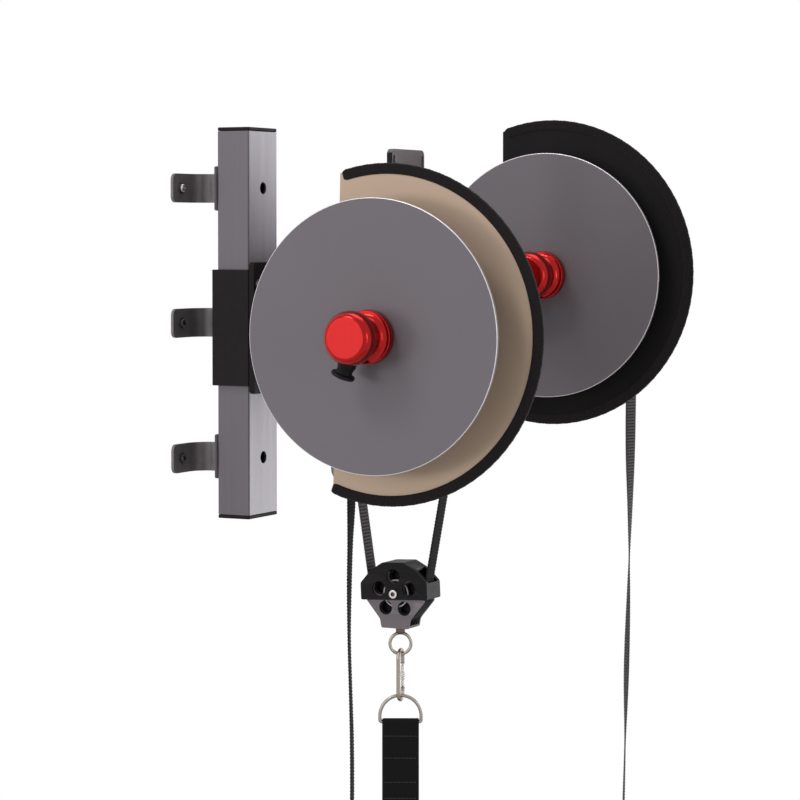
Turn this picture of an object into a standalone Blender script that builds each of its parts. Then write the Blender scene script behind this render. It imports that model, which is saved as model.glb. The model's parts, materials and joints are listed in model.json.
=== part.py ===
"""Wall-mounted flywheel trainer with two parallel flywheel heads on one sliding carriage.

Units are metres. The wall is the plane X = 0, the post stands at Y = 0 and its middle is at Z = 0.
Both flywheel shafts run along Y, with their knobs towards -Y.
"""

from math import acos, atan2, cos, hypot, pi, radians, sin, tan

import bmesh
import bpy
from mathutils import Vector

# Clearances
FIT = 0.0003
RUNNING_FIT = 0.0005
SLIDING_FIT = 0.0006

# Wall post: a box tube
POST_DEPTH = 0.050
POST_WIDTH = 0.080
POST_LENGTH = 0.530
POST_WALL = 0.003
POST_CORNER = 0.0025
POST_BACK_X = 0.046
POST_CAP = 0.005
CAP_PLUG = 0.012

# Wall brackets: a bent strip that stands the post off the wall
BRACKET_HEIGHTS = (0.1865, 0.0, -0.1870)
BRACKET_SHEET = 0.004
BRACKET_STRIP = 0.040
BRACKET_FLANGE_HEIGHT = 0.062
BRACKET_FLANGE_WIDTH = 0.040
BRACKET_SPAN = 0.176
BRACKET_FOOT_START = 0.034
BRACKET_STANDOFF = 0.034
BRACKET_ARM = 0.017
BRACKET_CORNER = 0.009
BRACKET_ROOT = 0.001
WALL_SCREW_OFFSET = 0.066
WALL_SCREW_SHANK = 0.006
WALL_SCREW_HEAD = 0.0145
WALL_SCREW_DOME = 0.0045
RAIL_BOLT = 0.010
RAIL_BOLT_HEAD = 0.016
RAIL_BOLT_HEAD_LENGTH = 0.006
RAIL_NUT = 0.017
RAIL_NUT_LENGTH = 0.008
RAIL_BOLT_TIP = 0.002
SPACER = 0.022
TOOL_HOLE = 0.017

# Carriage that slides on the post
SLEEVE_LENGTH = 0.160
SLEEVE_SIDE_WALL = 0.009
SLEEVE_FRONT_WALL = 0.0047
SLEEVE_LIP = 0.003
SLEEVE_SLOT = 0.028
CARRIAGE_Z = -0.006
PLATE_THICKNESS = 0.008
PLATE_HEIGHT = 0.181
PLATE_CORNER = 0.006

# Clamp knob that locks the carriage
CLAMP_KNOB = 0.046
CLAMP_KNOB_DEPTH = 0.020
CLAMP_LOBES = 6
CLAMP_STUD = 0.008
CLAMP_STANDOFF = 0.006

# Flywheel heads
SHAFT_X = 0.3941
NEAR_DISC_Y = -0.2542
NEAR_Z = -0.0058
FAR_DISC_Y = 0.2900
FAR_HEAD_Y = 0.5442
FAR_Z = 0.0639
DISC = 0.350
DISC_THICKNESS = 0.005
DISC_EDGE = 0.0008
SHAFT = 0.020
SPOOL_CORE = 0.030
SPOOL_FLANGE = 0.072
SPOOL_FLANGE_THICKNESS = 0.0025
SPOOL_GAP = 0.0285
HUB = 0.050
HUB_GAP = 0.004
HOUSING = 0.060
HOUSING_BORE = 0.028
HOUSING_FLANGE = 0.090
HOUSING_FLANGE_THICKNESS = 0.006

# Red knob on each shaft end
KNOB_LENGTH = 0.070
KNOB = 0.069
KNOB_FACE = 0.050
KNOB_SHOULDER = 0.017
KNOB_BACK = 0.008
KNOB_NECK = 0.045
KNOB_BASE = 0.070
KNOB_BASE_LENGTH = 0.014
KNOB_FLARE = 0.012
KNOB_BORE_DEPTH = 0.026
PLUNGER_OFFSET = 0.036
PLUNGER_TILT = 23.0
PLUNGER_NECK = 0.024
PLUNGER_SEAT = 0.0340
PLUNGER_COLLAR = 0.0150
PLUNGER_CAP = 0.031
PLUNGER_CAP_LENGTH = 0.006
PLUNGER_REACH = 0.055
PLUNGER_STEM = 0.010
PLUNGER_STEM_LENGTH = 0.008

# Guards: a disc segment with an edge trim on its arc
GUARD_RADIUS = 0.2175
GUARD_SHEET = 0.003
GUARD_FIT = 0.0007
GUARD_CHORD_X = 0.316
GUARD_BORE = 0.050
NEAR_GUARD_Y = -0.1980
FAR_GUARD_Y = 0.3181
TRIM_WIDTH = 0.012
TRIM_THICKNESS = 0.007

# Head frames
ARM = 0.060
ARM_WALL = 0.004
SPINE_THICKNESS = 0.008
SPINE_WIDTH = 0.098
SPINE_TOP_Z = 0.2370
SPINE_BOTTOM_Z = -0.080
SPINE_FACE_X = 0.3210
SPINE_CORNER = 0.008
SPINE_SLOT = 0.0045
SPINE_SLOT_OFFSET = 0.0426
SPINE_SLOT_MARGIN = 0.008
SPINE_SLOT_LENGTH = 0.110
HEAD_WIDTH = 0.089
HEAD_SHEET = 0.004
HEAD_HEIGHT = 0.120
HEAD_NOSE = 0.045
BACK_PLATE_HEIGHT = 0.150

# Cross-beam that carries the far head
BEAM_DEPTH = 0.050
BEAM_HEIGHT = 0.080
BEAM_WALL = 0.003
BEAM_X = 0.179
BEAM_START_Y = -0.049
BEAM_PAST_HEAD = 0.040
BEAM_CAP = 0.004

# Strap: ribbed webbing
STRAP_WIDTH = 0.025
STRAP = 0.002
STRAP_PITCH = 0.0025
NEAR_TURNS = 1.6
FAR_TURNS = 6.2
TURN_STEPS = 20

# Strap lock under the arm
LOCK_X = 0.2396
LOCK_Z = -0.2060
LOCK_BAR = 0.0085
LOCK_WIDTH = 0.034
LOCK_SHEET = 0.004
LOCK_LENGTH = 0.040
LOCK_BELOW = 0.010
CAM_RADIUS = 0.0090
CAM_OFFSET = 0.0025
CAM_PIN = 0.006
CAM_WIDTH = 0.024
LEVER_LENGTH = 0.048
LEVER_THICKNESS = 0.006

# Pulley block
BLOCK_X = 0.3091
BLOCK_Z = -0.3628
BLOCK_DEPTH = 0.041
SHEAVE_RADIUS = 0.0380
SHEAVE_WIDTH = 0.0270
SHEAVE_HOLE = 0.0170
SHEAVE_HOLE_CIRCLE = 0.023
SHEAVE_HOLES = 5
BLOCK_HOLE = 0.018
AXLE = 0.010
AXLE_HEAD = 0.014
AXLE_HEAD_LENGTH = 0.003
COVER_SHEET = 0.003
COVER_HALF_TOP = 0.0155
COVER_TOP = 0.0427
COVER_SHOULDER = (0.0335, 0.0324)
COVER_HALF_WIDTH = 0.050
COVER_SIDE_TOP = 0.0150
COVER_BOTTOM = -0.0080
FRAME_SHEET = 0.003
FRAME_WEB = 0.004
FRAME_WAIST = 0.0225
FRAME_WAIST_Z = -0.0350
FRAME_FOOT = 0.0205
FRAME_FOOT_Z = -0.0470
FRAME_KNEE = (0.0300, -0.0260)
FRAME_TOP = 0.030

# Swivel eye, snap hook and ring, turned to face the picture
TURN = 26.6
SWIVEL_STUB = 0.012
SWIVEL_STUB_LENGTH = 0.008
EYE_Z = -0.4323
EYE_RADIUS = 0.01425
EYE_WIRE = 0.0045
HOOK_WIRE = 0.0056
HOOK_HALF_WIDTH = 0.0110
HOOK_LENGTH = 0.0674
GATE_LENGTH = 0.030
GATE_WIRE = 0.0048
RING_WIRE = 0.0047
RING_HALF_WIDTH = 0.0280
RING_HEIGHT = 0.0360
RING_CORNER = 0.0028

# Hand loop
WEBBING_WIDTH = 0.050
WEBBING = 0.0025
NECK_LENGTH = 0.105
LOOP_HEIGHT = 0.150
LOOP_HALF_WIDTH = 0.072
LOOP_CORNER = 0.014
GRIP_LENGTH = 0.116
GRIP_WIDTH = 0.062
GRIP_THICKNESS = 0.024

# Free straps: routes chosen by hand, as (height, sideways shift, turn in degrees)
TAIL_ROUTE = (
    (-0.2500, -0.0004, 3.0),
    (-0.3000, -0.0020, 12.0),
    (-0.3600, -0.0034, 18.0),
    (-0.4300, -0.0036, 24.0),
    (-0.5000, -0.0016, 24.0),
    (-0.5700, 0.0004, 21.0),
    (-0.6400, 0.0008, 20.0),
    (-0.7000, 0.0000, 19.0),
)
FAR_STRAP_ROUTE = (
    (-0.0200, 0.0000, 1.0),
    (-0.1000, -0.0012, 6.0),
    (-0.2000, -0.0022, 20.0),
    (-0.3000, -0.0026, 28.0),
    (-0.4200, -0.0046, 20.0),
    (-0.5400, -0.0078, 24.0),
    (-0.6600, -0.0100, 25.0),
    (-0.7600, -0.0124, 21.0),
    (-0.8000, -0.0130, 20.0),
)
ROUTE_STEPS = 3

# Derived places
POST_FRONT_X = POST_BACK_X + POST_DEPTH
POST_MIDDLE_X = POST_BACK_X + POST_DEPTH / 2
SLEEVE_HALF = POST_WIDTH / 2 + SLIDING_FIT + SLEEVE_SIDE_WALL
SLEEVE_FRONT_X = POST_FRONT_X + SLIDING_FIT + SLEEVE_FRONT_WALL
PLATE_FRONT_X = SLEEVE_FRONT_X + FIT + PLATE_THICKNESS
SPINE_BACK_X = SPINE_FACE_X - SPINE_THICKNESS
HEAD_BACK_X = SPINE_FACE_X + FIT
STRAP_START = SPOOL_CORE / 2 + FIT + STRAP / 2
NEAR_COIL = STRAP_START + STRAP_PITCH * NEAR_TURNS
FAR_COIL = STRAP_START + STRAP_PITCH * FAR_TURNS
SHEAVE_STRAP = SHEAVE_RADIUS + FIT + STRAP / 2
LOCK_STRAP = LOCK_BAR / 2 + FIT + STRAP / 2
BEAM_Z = NEAR_Z + ARM / 2 + FIT + BEAM_HEIGHT / 2
BEAM_END_Y = FAR_HEAD_Y + BEAM_PAST_HEAD

COLLECTION = "Flywheel trainer"
CUTTERS = "Cutters"

# Flat shapes drawn in local XY stand in world XZ, XY or YZ
STAND_XZ = (pi / 2, 0.0, 0.0)
STAND_YZ = (pi / 2, 0.0, pi / 2)
LIE_FLAT = (0.0, 0.0, 0.0)


def clear_scene():
    """Remove every object and make the two collections."""
    for obj in list(bpy.data.objects):
        bpy.data.objects.remove(obj, do_unlink=True)
    for name in (COLLECTION, CUTTERS):
        made = bpy.data.collections.new(name)
        bpy.context.scene.collection.children.link(made)


def finish(name, colour, roughness, metallic):
    """One Principled material."""
    material = bpy.data.materials.new(name)
    material.use_nodes = True
    shader = material.node_tree.nodes["Principled BSDF"]
    shader.inputs["Base Color"].default_value = (*colour, 1.0)
    shader.inputs["Roughness"].default_value = roughness
    shader.inputs["Metallic"].default_value = metallic
    return material


def add(name, data, material, location=(0, 0, 0), rotation=LIE_FLAT):
    """Link an object that becomes one sub-part."""
    obj = bpy.data.objects.new(name, data)
    obj.location = location
    obj.rotation_euler = rotation
    if material is not None:
        data.materials.append(material)
    bpy.data.collections[COLLECTION].objects.link(obj)
    return obj


def as_cutter(obj):
    """Hide an object that only cuts."""
    bpy.data.collections[COLLECTION].objects.unlink(obj)
    bpy.data.collections[CUTTERS].objects.link(obj)
    obj.hide_render = True
    obj.display_type = "WIRE"
    return obj


def smooth(obj, angle=35.0):
    """Shade round faces smooth and keep real corners sharp."""
    obj.data.shade_smooth()
    obj.data.set_sharp_from_angle(angle=radians(angle))
    return obj


def boolean(obj, cutter, operation="DIFFERENCE"):
    """Cut, join or intersect with the exact solver."""
    modifier = obj.modifiers.new(f"{operation.title()} {cutter.name}", "BOOLEAN")
    modifier.operation = operation
    modifier.object = cutter
    return obj


def rounded(obj, width, segments=2, angle=40.0):
    """Round the sharp edges."""
    modifier = obj.modifiers.new("Rounded edges", "BEVEL")
    modifier.width = width
    modifier.segments = segments
    modifier.limit_method = "ANGLE"
    modifier.angle_limit = radians(angle)
    return obj


def box(name, size, centre, material):
    """A box with its scale applied."""
    mesh = bpy.data.meshes.new(name)
    cage = bmesh.new()
    bmesh.ops.create_cube(cage, size=1.0)
    bmesh.ops.scale(cage, vec=size, verts=cage.verts)
    cage.to_mesh(mesh)
    cage.free()
    return add(name, mesh, material, centre)


def cylinder(name, radius, length, centre, axis, material, sides=32):
    """A plain cylinder along the named axis."""
    mesh = bpy.data.meshes.new(name)
    cage = bmesh.new()
    bmesh.ops.create_cone(
        cage, cap_ends=True, segments=sides, radius1=radius, radius2=radius, depth=length
    )
    cage.to_mesh(mesh)
    cage.free()
    turns = {"X": (0.0, pi / 2, 0.0), "Y": (pi / 2, 0.0, 0.0), "Z": LIE_FLAT}
    return smooth(add(name, mesh, material, centre, turns[axis]))


def circle(radius, sides, x=0.0, y=0.0):
    """Points on a circle."""
    turns = [2 * pi * step / sides for step in range(sides)]
    return [(x + radius * cos(turn), y + radius * sin(turn)) for turn in turns]


def arc(x, y, radius, start, end, steps):
    """Points on an arc, with its angles in degrees."""
    turns = [radians(start + (end - start) * step / steps) for step in range(steps + 1)]
    return [(x + radius * cos(turn), y + radius * sin(turn)) for turn in turns]


def rounded_rectangle(width, height, corner, steps=4):
    """A rectangle about the origin with round corners."""
    x = width / 2 - corner
    y = height / 2 - corner
    points = arc(x, y, corner, 0, 90, steps)
    points += arc(-x, y, corner, 90, 180, steps)
    points += arc(-x, -y, corner, 180, 270, steps)
    points += arc(x, -y, corner, 270, 360, steps)
    return points


def offset_line(points, distance):
    """The open line moved sideways by a distance, to its left."""
    moved = []
    for index, (x, y) in enumerate(points):
        before = Vector(points[max(index - 1, 0)])
        after = Vector(points[min(index + 1, len(points) - 1)])
        here = Vector((x, y))
        into = (here - before) if index else (after - here)
        out = (after - here) if index < len(points) - 1 else into
        into = into.normalized()
        out = out.normalized()
        side = (Vector((-into.y, into.x)) + Vector((-out.y, out.x))).normalized()
        reach = distance / max(side.dot(Vector((-into.y, into.x))), 0.3)
        moved.append((x + side.x * reach, y + side.y * reach))
    return moved


def strip_outline(points, thickness):
    """The closed outline of a strip that follows an open line."""
    left = offset_line(points, thickness / 2)
    right = offset_line(points, -thickness / 2)
    return left + right[::-1]


def flat_shape(name, outlines, thickness, centre, rotation, material):
    """A flat outline with its holes, extruded to a thickness."""
    curve = bpy.data.curves.new(name, "CURVE")
    curve.dimensions = "2D"
    curve.fill_mode = "BOTH"
    curve.extrude = thickness / 2
    for outline in outlines:
        spline = curve.splines.new("POLY")
        spline.points.add(len(outline) - 1)
        for point, (x, y) in zip(spline.points, outline):
            point.co = (x, y, 0.0, 1.0)
        spline.use_cyclic_u = True
    return add(name, curve, material, centre, rotation)


def as_mesh(obj):
    """The same object as a welded mesh, so that it can be cut or rounded."""
    graph = bpy.context.evaluated_depsgraph_get()
    graph.update()
    mesh = bpy.data.meshes.new_from_object(obj.evaluated_get(graph))
    cage = bmesh.new()
    cage.from_mesh(mesh)
    bmesh.ops.remove_doubles(cage, verts=cage.verts, dist=0.00001)
    bmesh.ops.recalc_face_normals(cage, faces=cage.faces)
    cage.to_mesh(mesh)
    cage.free()
    name = obj.name
    obj.name = name + " curve"
    solid = bpy.data.objects.new(name, mesh)
    bpy.context.view_layer.update()
    solid.matrix_world = obj.matrix_world.copy()
    bpy.data.collections[COLLECTION].objects.link(solid)
    bpy.data.objects.remove(obj, do_unlink=True)
    return solid


def turned(name, profile, centre, rotation, material, steps=40):
    """A turned shape from (radius, height) points that run down its outer side."""
    mesh = bpy.data.meshes.new(name)
    closed = profile[0][0] > 0
    cage = bmesh.new()
    verts = [cage.verts.new((radius, 0.0, height)) for radius, height in profile]
    for start, end in zip(verts, verts[1:] + verts[:1] if closed else verts[1:]):
        cage.edges.new((start, end))
    cage.to_mesh(mesh)
    cage.free()
    obj = add(name, mesh, material, centre, rotation)
    screw = obj.modifiers.new("Turned", "SCREW")
    screw.steps = steps
    screw.render_steps = steps
    screw.use_merge_vertices = True
    screw.merge_threshold = 0.00001
    screw.use_smooth_shade = True
    return obj


def tube(name, points, diameter, material, centre=(0, 0, 0), rotation=LIE_FLAT, cyclic=False, sides=2):
    """A wire or tube along its points."""
    curve = bpy.data.curves.new(name, "CURVE")
    curve.dimensions = "3D"
    curve.bevel_depth = diameter / 2
    curve.bevel_resolution = sides
    curve.use_fill_caps = True
    spline = curve.splines.new("POLY")
    spline.points.add(len(points) - 1)
    for point, place in zip(spline.points, points):
        point.co = (*place, 1.0)
    spline.use_cyclic_u = cyclic
    return add(name, curve, material, centre, rotation)


def materials():
    """All finishes, with colours read from the photograph."""
    return {
        "post": finish("Brushed post", (0.36, 0.35, 0.40), 0.35, 0.9),
        "black": finish("Black plastic", (0.020, 0.018, 0.019), 0.5, 0.0),
        "bracket": finish("Dark bracket", (0.11, 0.10, 0.105), 0.45, 0.6),
        "screw": finish("Zinc screw", (0.55, 0.54, 0.52), 0.35, 1.0),
        "frame": finish("Grey frame", (0.14, 0.12, 0.125), 0.5, 0.5),
        "disc": finish("Grey disc", (0.20, 0.175, 0.20), 0.45, 0.6),
        "red": finish("Red anodised", (0.62, 0.022, 0.02), 0.22, 0.8),
        "steel": finish("Steel", (0.42, 0.39, 0.37), 0.3, 1.0),
        "sand": finish("Sand guard", (0.51, 0.38, 0.27), 0.6, 0.0),
        "guard": finish("Black guard", (0.018, 0.015, 0.018), 0.6, 0.0),
        "trim": finish("Edge trim", (0.012, 0.011, 0.012), 0.85, 0.0),
        "strap": finish("Strap webbing", (0.05, 0.047, 0.045), 0.8, 0.0),
        "webbing": finish("Handle webbing", (0.010, 0.009, 0.010), 0.85, 0.0),
        "pad": finish("Foam pad", (0.015, 0.015, 0.016), 0.9, 0.0),
    }


def post(finishes):
    """The box tube, its tool holes and its two end caps."""
    outline = rounded_rectangle(POST_DEPTH, POST_WIDTH, POST_CORNER, 3)
    inner = rounded_rectangle(POST_DEPTH - 2 * POST_WALL, POST_WIDTH - 2 * POST_WALL, 0.001, 1)
    middle = (POST_MIDDLE_X, 0.0, 0.0)
    tube_solid = flat_shape("post_tube", [outline, inner], POST_LENGTH, middle, LIE_FLAT, finishes["post"])
    tube_solid = as_mesh(tube_solid)
    for number, height in enumerate(BRACKET_HEIGHTS, 1):
        place = (POST_FRONT_X, 0.0, height)
        hole = cylinder(f"tool hole {number}", TOOL_HOLE / 2, 4 * POST_WALL, place, "X", None, 16)
        boolean(tube_solid, as_cutter(hole))
        place = (POST_BACK_X, 0.0, height)
        hole = cylinder(f"rail hole {number}", RAIL_BOLT / 2 + FIT, 4 * POST_WALL, place, "X", None, 16)
        boolean(tube_solid, as_cutter(hole))
    smooth(tube_solid)
    for name, side in (("post_cap_top", 1), ("post_cap_bottom", -1)):
        height = side * (POST_LENGTH / 2 + FIT + POST_CAP / 2)
        cap = flat_shape(name, [outline], POST_CAP, (POST_MIDDLE_X, 0, height), LIE_FLAT, finishes["black"])
        cap = as_mesh(cap)
        clearance = POST_WALL + FIT
        size = (POST_DEPTH - 2 * clearance, POST_WIDTH - 2 * clearance, CAP_PLUG)
        depth = side * (POST_LENGTH / 2 + FIT + POST_CAP / 2 - CAP_PLUG / 2)
        plug = box(name + " plug", size, (POST_MIDDLE_X, 0, depth), None)
        rounded(plug, 0.0015, 1)
        boolean(cap, as_cutter(plug), "UNION")


def bracket_line():
    """Half of the bent strip's middle line, seen from above, from its foot to the flange's middle."""
    middle = BRACKET_SHEET / 2
    arm_y = BRACKET_FLANGE_WIDTH / 2 - middle
    bend_x = BRACKET_STANDOFF - middle - BRACKET_ARM + BRACKET_SHEET / 2
    return [
        (middle, -BRACKET_SPAN / 2 - BRACKET_CORNER),
        (middle, -BRACKET_FOOT_START),
        (bend_x, -arm_y),
        (BRACKET_STANDOFF - middle, -arm_y),
        (BRACKET_STANDOFF - middle, 0.0),
    ]


def wall_brackets(finishes):
    """Three bent brackets, each with two wall screws and the bolt and spacer that hold the post."""
    half = bracket_line()
    line = half + [(x, -y) for x, y in half[-2::-1]]
    strip_face = rounded_rectangle(BRACKET_SPAN, BRACKET_STRIP, BRACKET_CORNER, 4)
    root_x = BRACKET_STANDOFF - BRACKET_SHEET - BRACKET_ROOT
    for number, height in enumerate(BRACKET_HEIGHTS, 1):
        name = f"wall_bracket_{number}"
        centre = (0.0, 0.0, height)
        tall = 1.2 * BRACKET_FLANGE_HEIGHT
        outline = strip_outline(line, BRACKET_SHEET)
        strip = as_mesh(flat_shape(name, [outline], tall, centre, LIE_FLAT, finishes["bracket"]))
        envelope = as_mesh(flat_shape(name + " envelope", [strip_face], 4 * BRACKET_STANDOFF, centre, STAND_YZ, None))
        size = (2 * BRACKET_STANDOFF, 1.2 * BRACKET_FLANGE_WIDTH, BRACKET_FLANGE_HEIGHT)
        flange = box(name + " flange", size, (root_x + BRACKET_STANDOFF, 0, height), None)
        boolean(envelope, as_cutter(flange), "UNION")
        boolean(strip, as_cutter(envelope), "INTERSECT")
        hole = cylinder(f"{name} bolt hole", RAIL_BOLT / 2 + FIT, 0.020, (BRACKET_STANDOFF, 0, height), "X", None, 16)
        boolean(strip, as_cutter(hole))
        for side, word in ((-1, "near"), (1, "far")):
            place = (0.0, side * WALL_SCREW_OFFSET, height)
            hole = cylinder(f"{name} hole {word}", WALL_SCREW_SHANK / 2 + FIT, 0.020, place, "X", None, 12)
            boolean(strip, as_cutter(hole))
            wall_screw(f"wall_screw_{number}_{word}", place, finishes["screw"])
        rail_bolt(f"rail_bolt_{number}", height, finishes["screw"])


def wall_screw(name, place, material):
    """A pan-head screw through a bracket foot, cut off at the wall."""
    head = WALL_SCREW_HEAD / 2
    seat = BRACKET_SHEET + FIT
    dome = [(head * sin(turn), seat + 0.0012 + WALL_SCREW_DOME * cos(turn)) for turn in
            (0.0, 0.8, 1.3)]
    profile = dome + [(head, seat), (WALL_SCREW_SHANK / 2, seat), (WALL_SCREW_SHANK / 2, FIT), (0.0, FIT)]
    turned(name, profile, place, (0.0, pi / 2, 0.0), material, 12)


def rail_bolt(name, height, material):
    """A bolt from inside the post through its spacer and the bracket flange, with its nut."""
    shank = RAIL_BOLT / 2
    inside = POST_BACK_X + POST_WALL + FIT
    behind = BRACKET_STANDOFF - BRACKET_SHEET - FIT
    profile = [
        (0.0, inside + RAIL_BOLT_HEAD_LENGTH),
        (RAIL_BOLT_HEAD / 2, inside + RAIL_BOLT_HEAD_LENGTH),
        (RAIL_BOLT_HEAD / 2, inside),
        (shank, inside),
        (shank, POST_BACK_X - FIT),
        (SPACER / 2, POST_BACK_X - FIT),
        (SPACER / 2, BRACKET_STANDOFF + FIT),
        (shank, BRACKET_STANDOFF + FIT),
        (shank, behind),
        (RAIL_NUT / 2, behind),
        (RAIL_NUT / 2, behind - RAIL_NUT_LENGTH),
        (shank, behind - RAIL_NUT_LENGTH),
        (shank, behind - RAIL_NUT_LENGTH - RAIL_BOLT_TIP),
        (0.0, behind - RAIL_NUT_LENGTH - RAIL_BOLT_TIP),
    ]
    turned(name, profile, (0.0, 0.0, height), (0.0, pi / 2, 0.0), material, 14)


def carriage(finishes):
    """The C-shaped sleeve on the post, its front plate and the clamp knob on its far side."""
    inner_half = POST_WIDTH / 2 + SLIDING_FIT
    inner_front = POST_FRONT_X + SLIDING_FIT
    inner_back = POST_BACK_X - SLIDING_FIT
    back = inner_back - SLEEVE_LIP
    slot = SLEEVE_SLOT / 2
    half = [
        (back, slot),
        (back, SLEEVE_HALF - 0.002),
        (back + 0.002, SLEEVE_HALF),
        (SLEEVE_FRONT_X - 0.002, SLEEVE_HALF),
        (SLEEVE_FRONT_X, SLEEVE_HALF - 0.002),
    ]
    inner = [(inner_front, inner_half), (inner_back, inner_half), (inner_back, slot)]
    outline = half + [(x, -y) for x, y in half[::-1]]
    outline += [(x, -y) for x, y in inner[::-1]] + inner
    sleeve = flat_shape("carriage_sleeve", [outline], SLEEVE_LENGTH, (0, 0, CARRIAGE_Z), LIE_FLAT, finishes["black"])
    sleeve = as_mesh(sleeve)
    place = (POST_MIDDLE_X, SLEEVE_HALF, CARRIAGE_Z)
    stud_hole = cylinder("stud hole", CLAMP_STUD / 2 + FIT, 4 * SLEEVE_SIDE_WALL, place, "Y", None, 20)
    boolean(sleeve, as_cutter(stud_hole))

    face = rounded_rectangle(2 * SLEEVE_HALF, PLATE_HEIGHT, PLATE_CORNER, 3)
    centre = (SLEEVE_FRONT_X + FIT + PLATE_THICKNESS / 2, 0, CARRIAGE_Z)
    flat_shape("carriage_plate", [face], PLATE_THICKNESS, centre, STAND_YZ, finishes["black"])

    knob = CLAMP_KNOB / 2
    lobes = [(knob * (0.93 + 0.07 * cos(CLAMP_LOBES * turn)), turn) for turn in
             (2 * pi * step / 48 for step in range(48))]
    outline = [(radius * cos(turn), radius * sin(turn)) for radius, turn in lobes]
    knob_y = SLEEVE_HALF + CLAMP_STANDOFF + CLAMP_KNOB_DEPTH / 2
    centre = (POST_MIDDLE_X, knob_y, CARRIAGE_Z)
    grip = as_mesh(flat_shape("clamp_knob", [outline], CLAMP_KNOB_DEPTH, centre, STAND_XZ, finishes["black"]))
    stud_end = POST_WIDTH / 2 + FIT
    length = knob_y - stud_end
    stud = cylinder("stud", CLAMP_STUD / 2, length, (POST_MIDDLE_X, stud_end + length / 2, CARRIAGE_Z), "Y", None, 20)
    boolean(grip, as_cutter(stud), "UNION")
    collar_length = CLAMP_STANDOFF - FIT
    place = (POST_MIDDLE_X, SLEEVE_HALF + FIT + collar_length / 2 + 0.0005, CARRIAGE_Z)
    collar = cylinder("stud collar", CLAMP_STUD, collar_length + 0.001, place, "Y", None, 20)
    collar.location.y = SLEEVE_HALF + FIT + (collar_length + 0.001) / 2
    boolean(grip, as_cutter(collar), "UNION")


def box_tube(name, length, width, height, wall, centre, rotation, material):
    """A square tube, open at both ends."""
    outer = rounded_rectangle(width, height, 0.004, 2)
    inner = rounded_rectangle(width - 2 * wall, height - 2 * wall, 0.001, 1)
    return flat_shape(name, [outer, inner], length, centre, rotation, material)


def arms(finishes):
    """The arm from the carriage to the spine, and the cross-beam with the far arm welded to it."""
    start = PLATE_FRONT_X + FIT
    length = SPINE_BACK_X - FIT - start
    box_tube("head_arm", length, ARM, ARM, ARM_WALL, (start + length / 2, 0, NEAR_Z), STAND_YZ, finishes["frame"])

    beam_length = BEAM_END_Y - BEAM_START_Y
    middle_y = BEAM_START_Y + beam_length / 2
    size = (BEAM_DEPTH, beam_length, BEAM_HEIGHT)
    beam = box("cross_beam", size, (BEAM_X, middle_y, BEAM_Z), finishes["frame"])
    arm_start = BEAM_X
    arm_length = SPINE_BACK_X - FIT - arm_start
    arm = box("far arm", (arm_length, ARM, ARM), (arm_start + arm_length / 2, FAR_HEAD_Y, BEAM_Z), None)
    boolean(beam, as_cutter(arm), "UNION")
    hollow = (BEAM_DEPTH - 2 * BEAM_WALL, beam_length, BEAM_HEIGHT - 2 * BEAM_WALL)
    inside = box("beam hollow", hollow, (BEAM_X, middle_y - BEAM_WALL, BEAM_Z), None)
    boolean(beam, as_cutter(inside))
    inner_start = BEAM_X + BEAM_DEPTH / 2 + 0.002
    hollow_length = arm_length + 0.010
    hollow = (hollow_length, ARM - 2 * ARM_WALL, ARM - 2 * ARM_WALL)
    inside = box("arm hollow", hollow, (inner_start + hollow_length / 2, FAR_HEAD_Y, BEAM_Z), None)
    boolean(beam, as_cutter(inside))

    outline = rounded_rectangle(BEAM_DEPTH, BEAM_HEIGHT, 0.004, 2)
    cap_y = BEAM_START_Y - FIT - BEAM_CAP / 2
    cap = as_mesh(flat_shape("beam_cap", [outline], BEAM_CAP, (BEAM_X, cap_y, BEAM_Z), STAND_XZ, finishes["black"]))
    clearance = 2 * (BEAM_WALL + FIT)
    size = (BEAM_DEPTH - clearance, CAP_PLUG, BEAM_HEIGHT - clearance)
    plug = box("beam cap plug", size, (BEAM_X, cap_y + CAP_PLUG / 2, BEAM_Z), None)
    boolean(cap, as_cutter(plug), "UNION")


def spine(finishes):
    """The slotted spine plate behind the near head, and the shorter plate of the far head."""
    height = SPINE_TOP_Z - SPINE_BOTTOM_Z
    outline = rounded_rectangle(SPINE_WIDTH, height, SPINE_CORNER, 4)
    slot_top = height / 2 - SPINE_SLOT_MARGIN
    slot_middle = slot_top - SPINE_SLOT_LENGTH / 2
    slots = []
    for side in (-1, 1):
        slot = rounded_rectangle(SPINE_SLOT, SPINE_SLOT_LENGTH, SPINE_SLOT / 2 - 0.0001, 4)
        slots.append([(x + side * SPINE_SLOT_OFFSET, y + slot_middle) for x, y in slot])
    centre_x = SPINE_FACE_X - SPINE_THICKNESS / 2
    centre = (centre_x, 0, (SPINE_TOP_Z + SPINE_BOTTOM_Z) / 2)
    flat_shape("spine_plate", [outline, *slots], SPINE_THICKNESS, centre, STAND_YZ, finishes["frame"])

    outline = rounded_rectangle(SPINE_WIDTH, BACK_PLATE_HEIGHT, SPINE_CORNER, 4)
    centre = (centre_x, FAR_HEAD_Y, FAR_Z)
    flat_shape("far_back_plate", [outline], SPINE_THICKNESS, centre, STAND_YZ, finishes["frame"])


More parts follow.
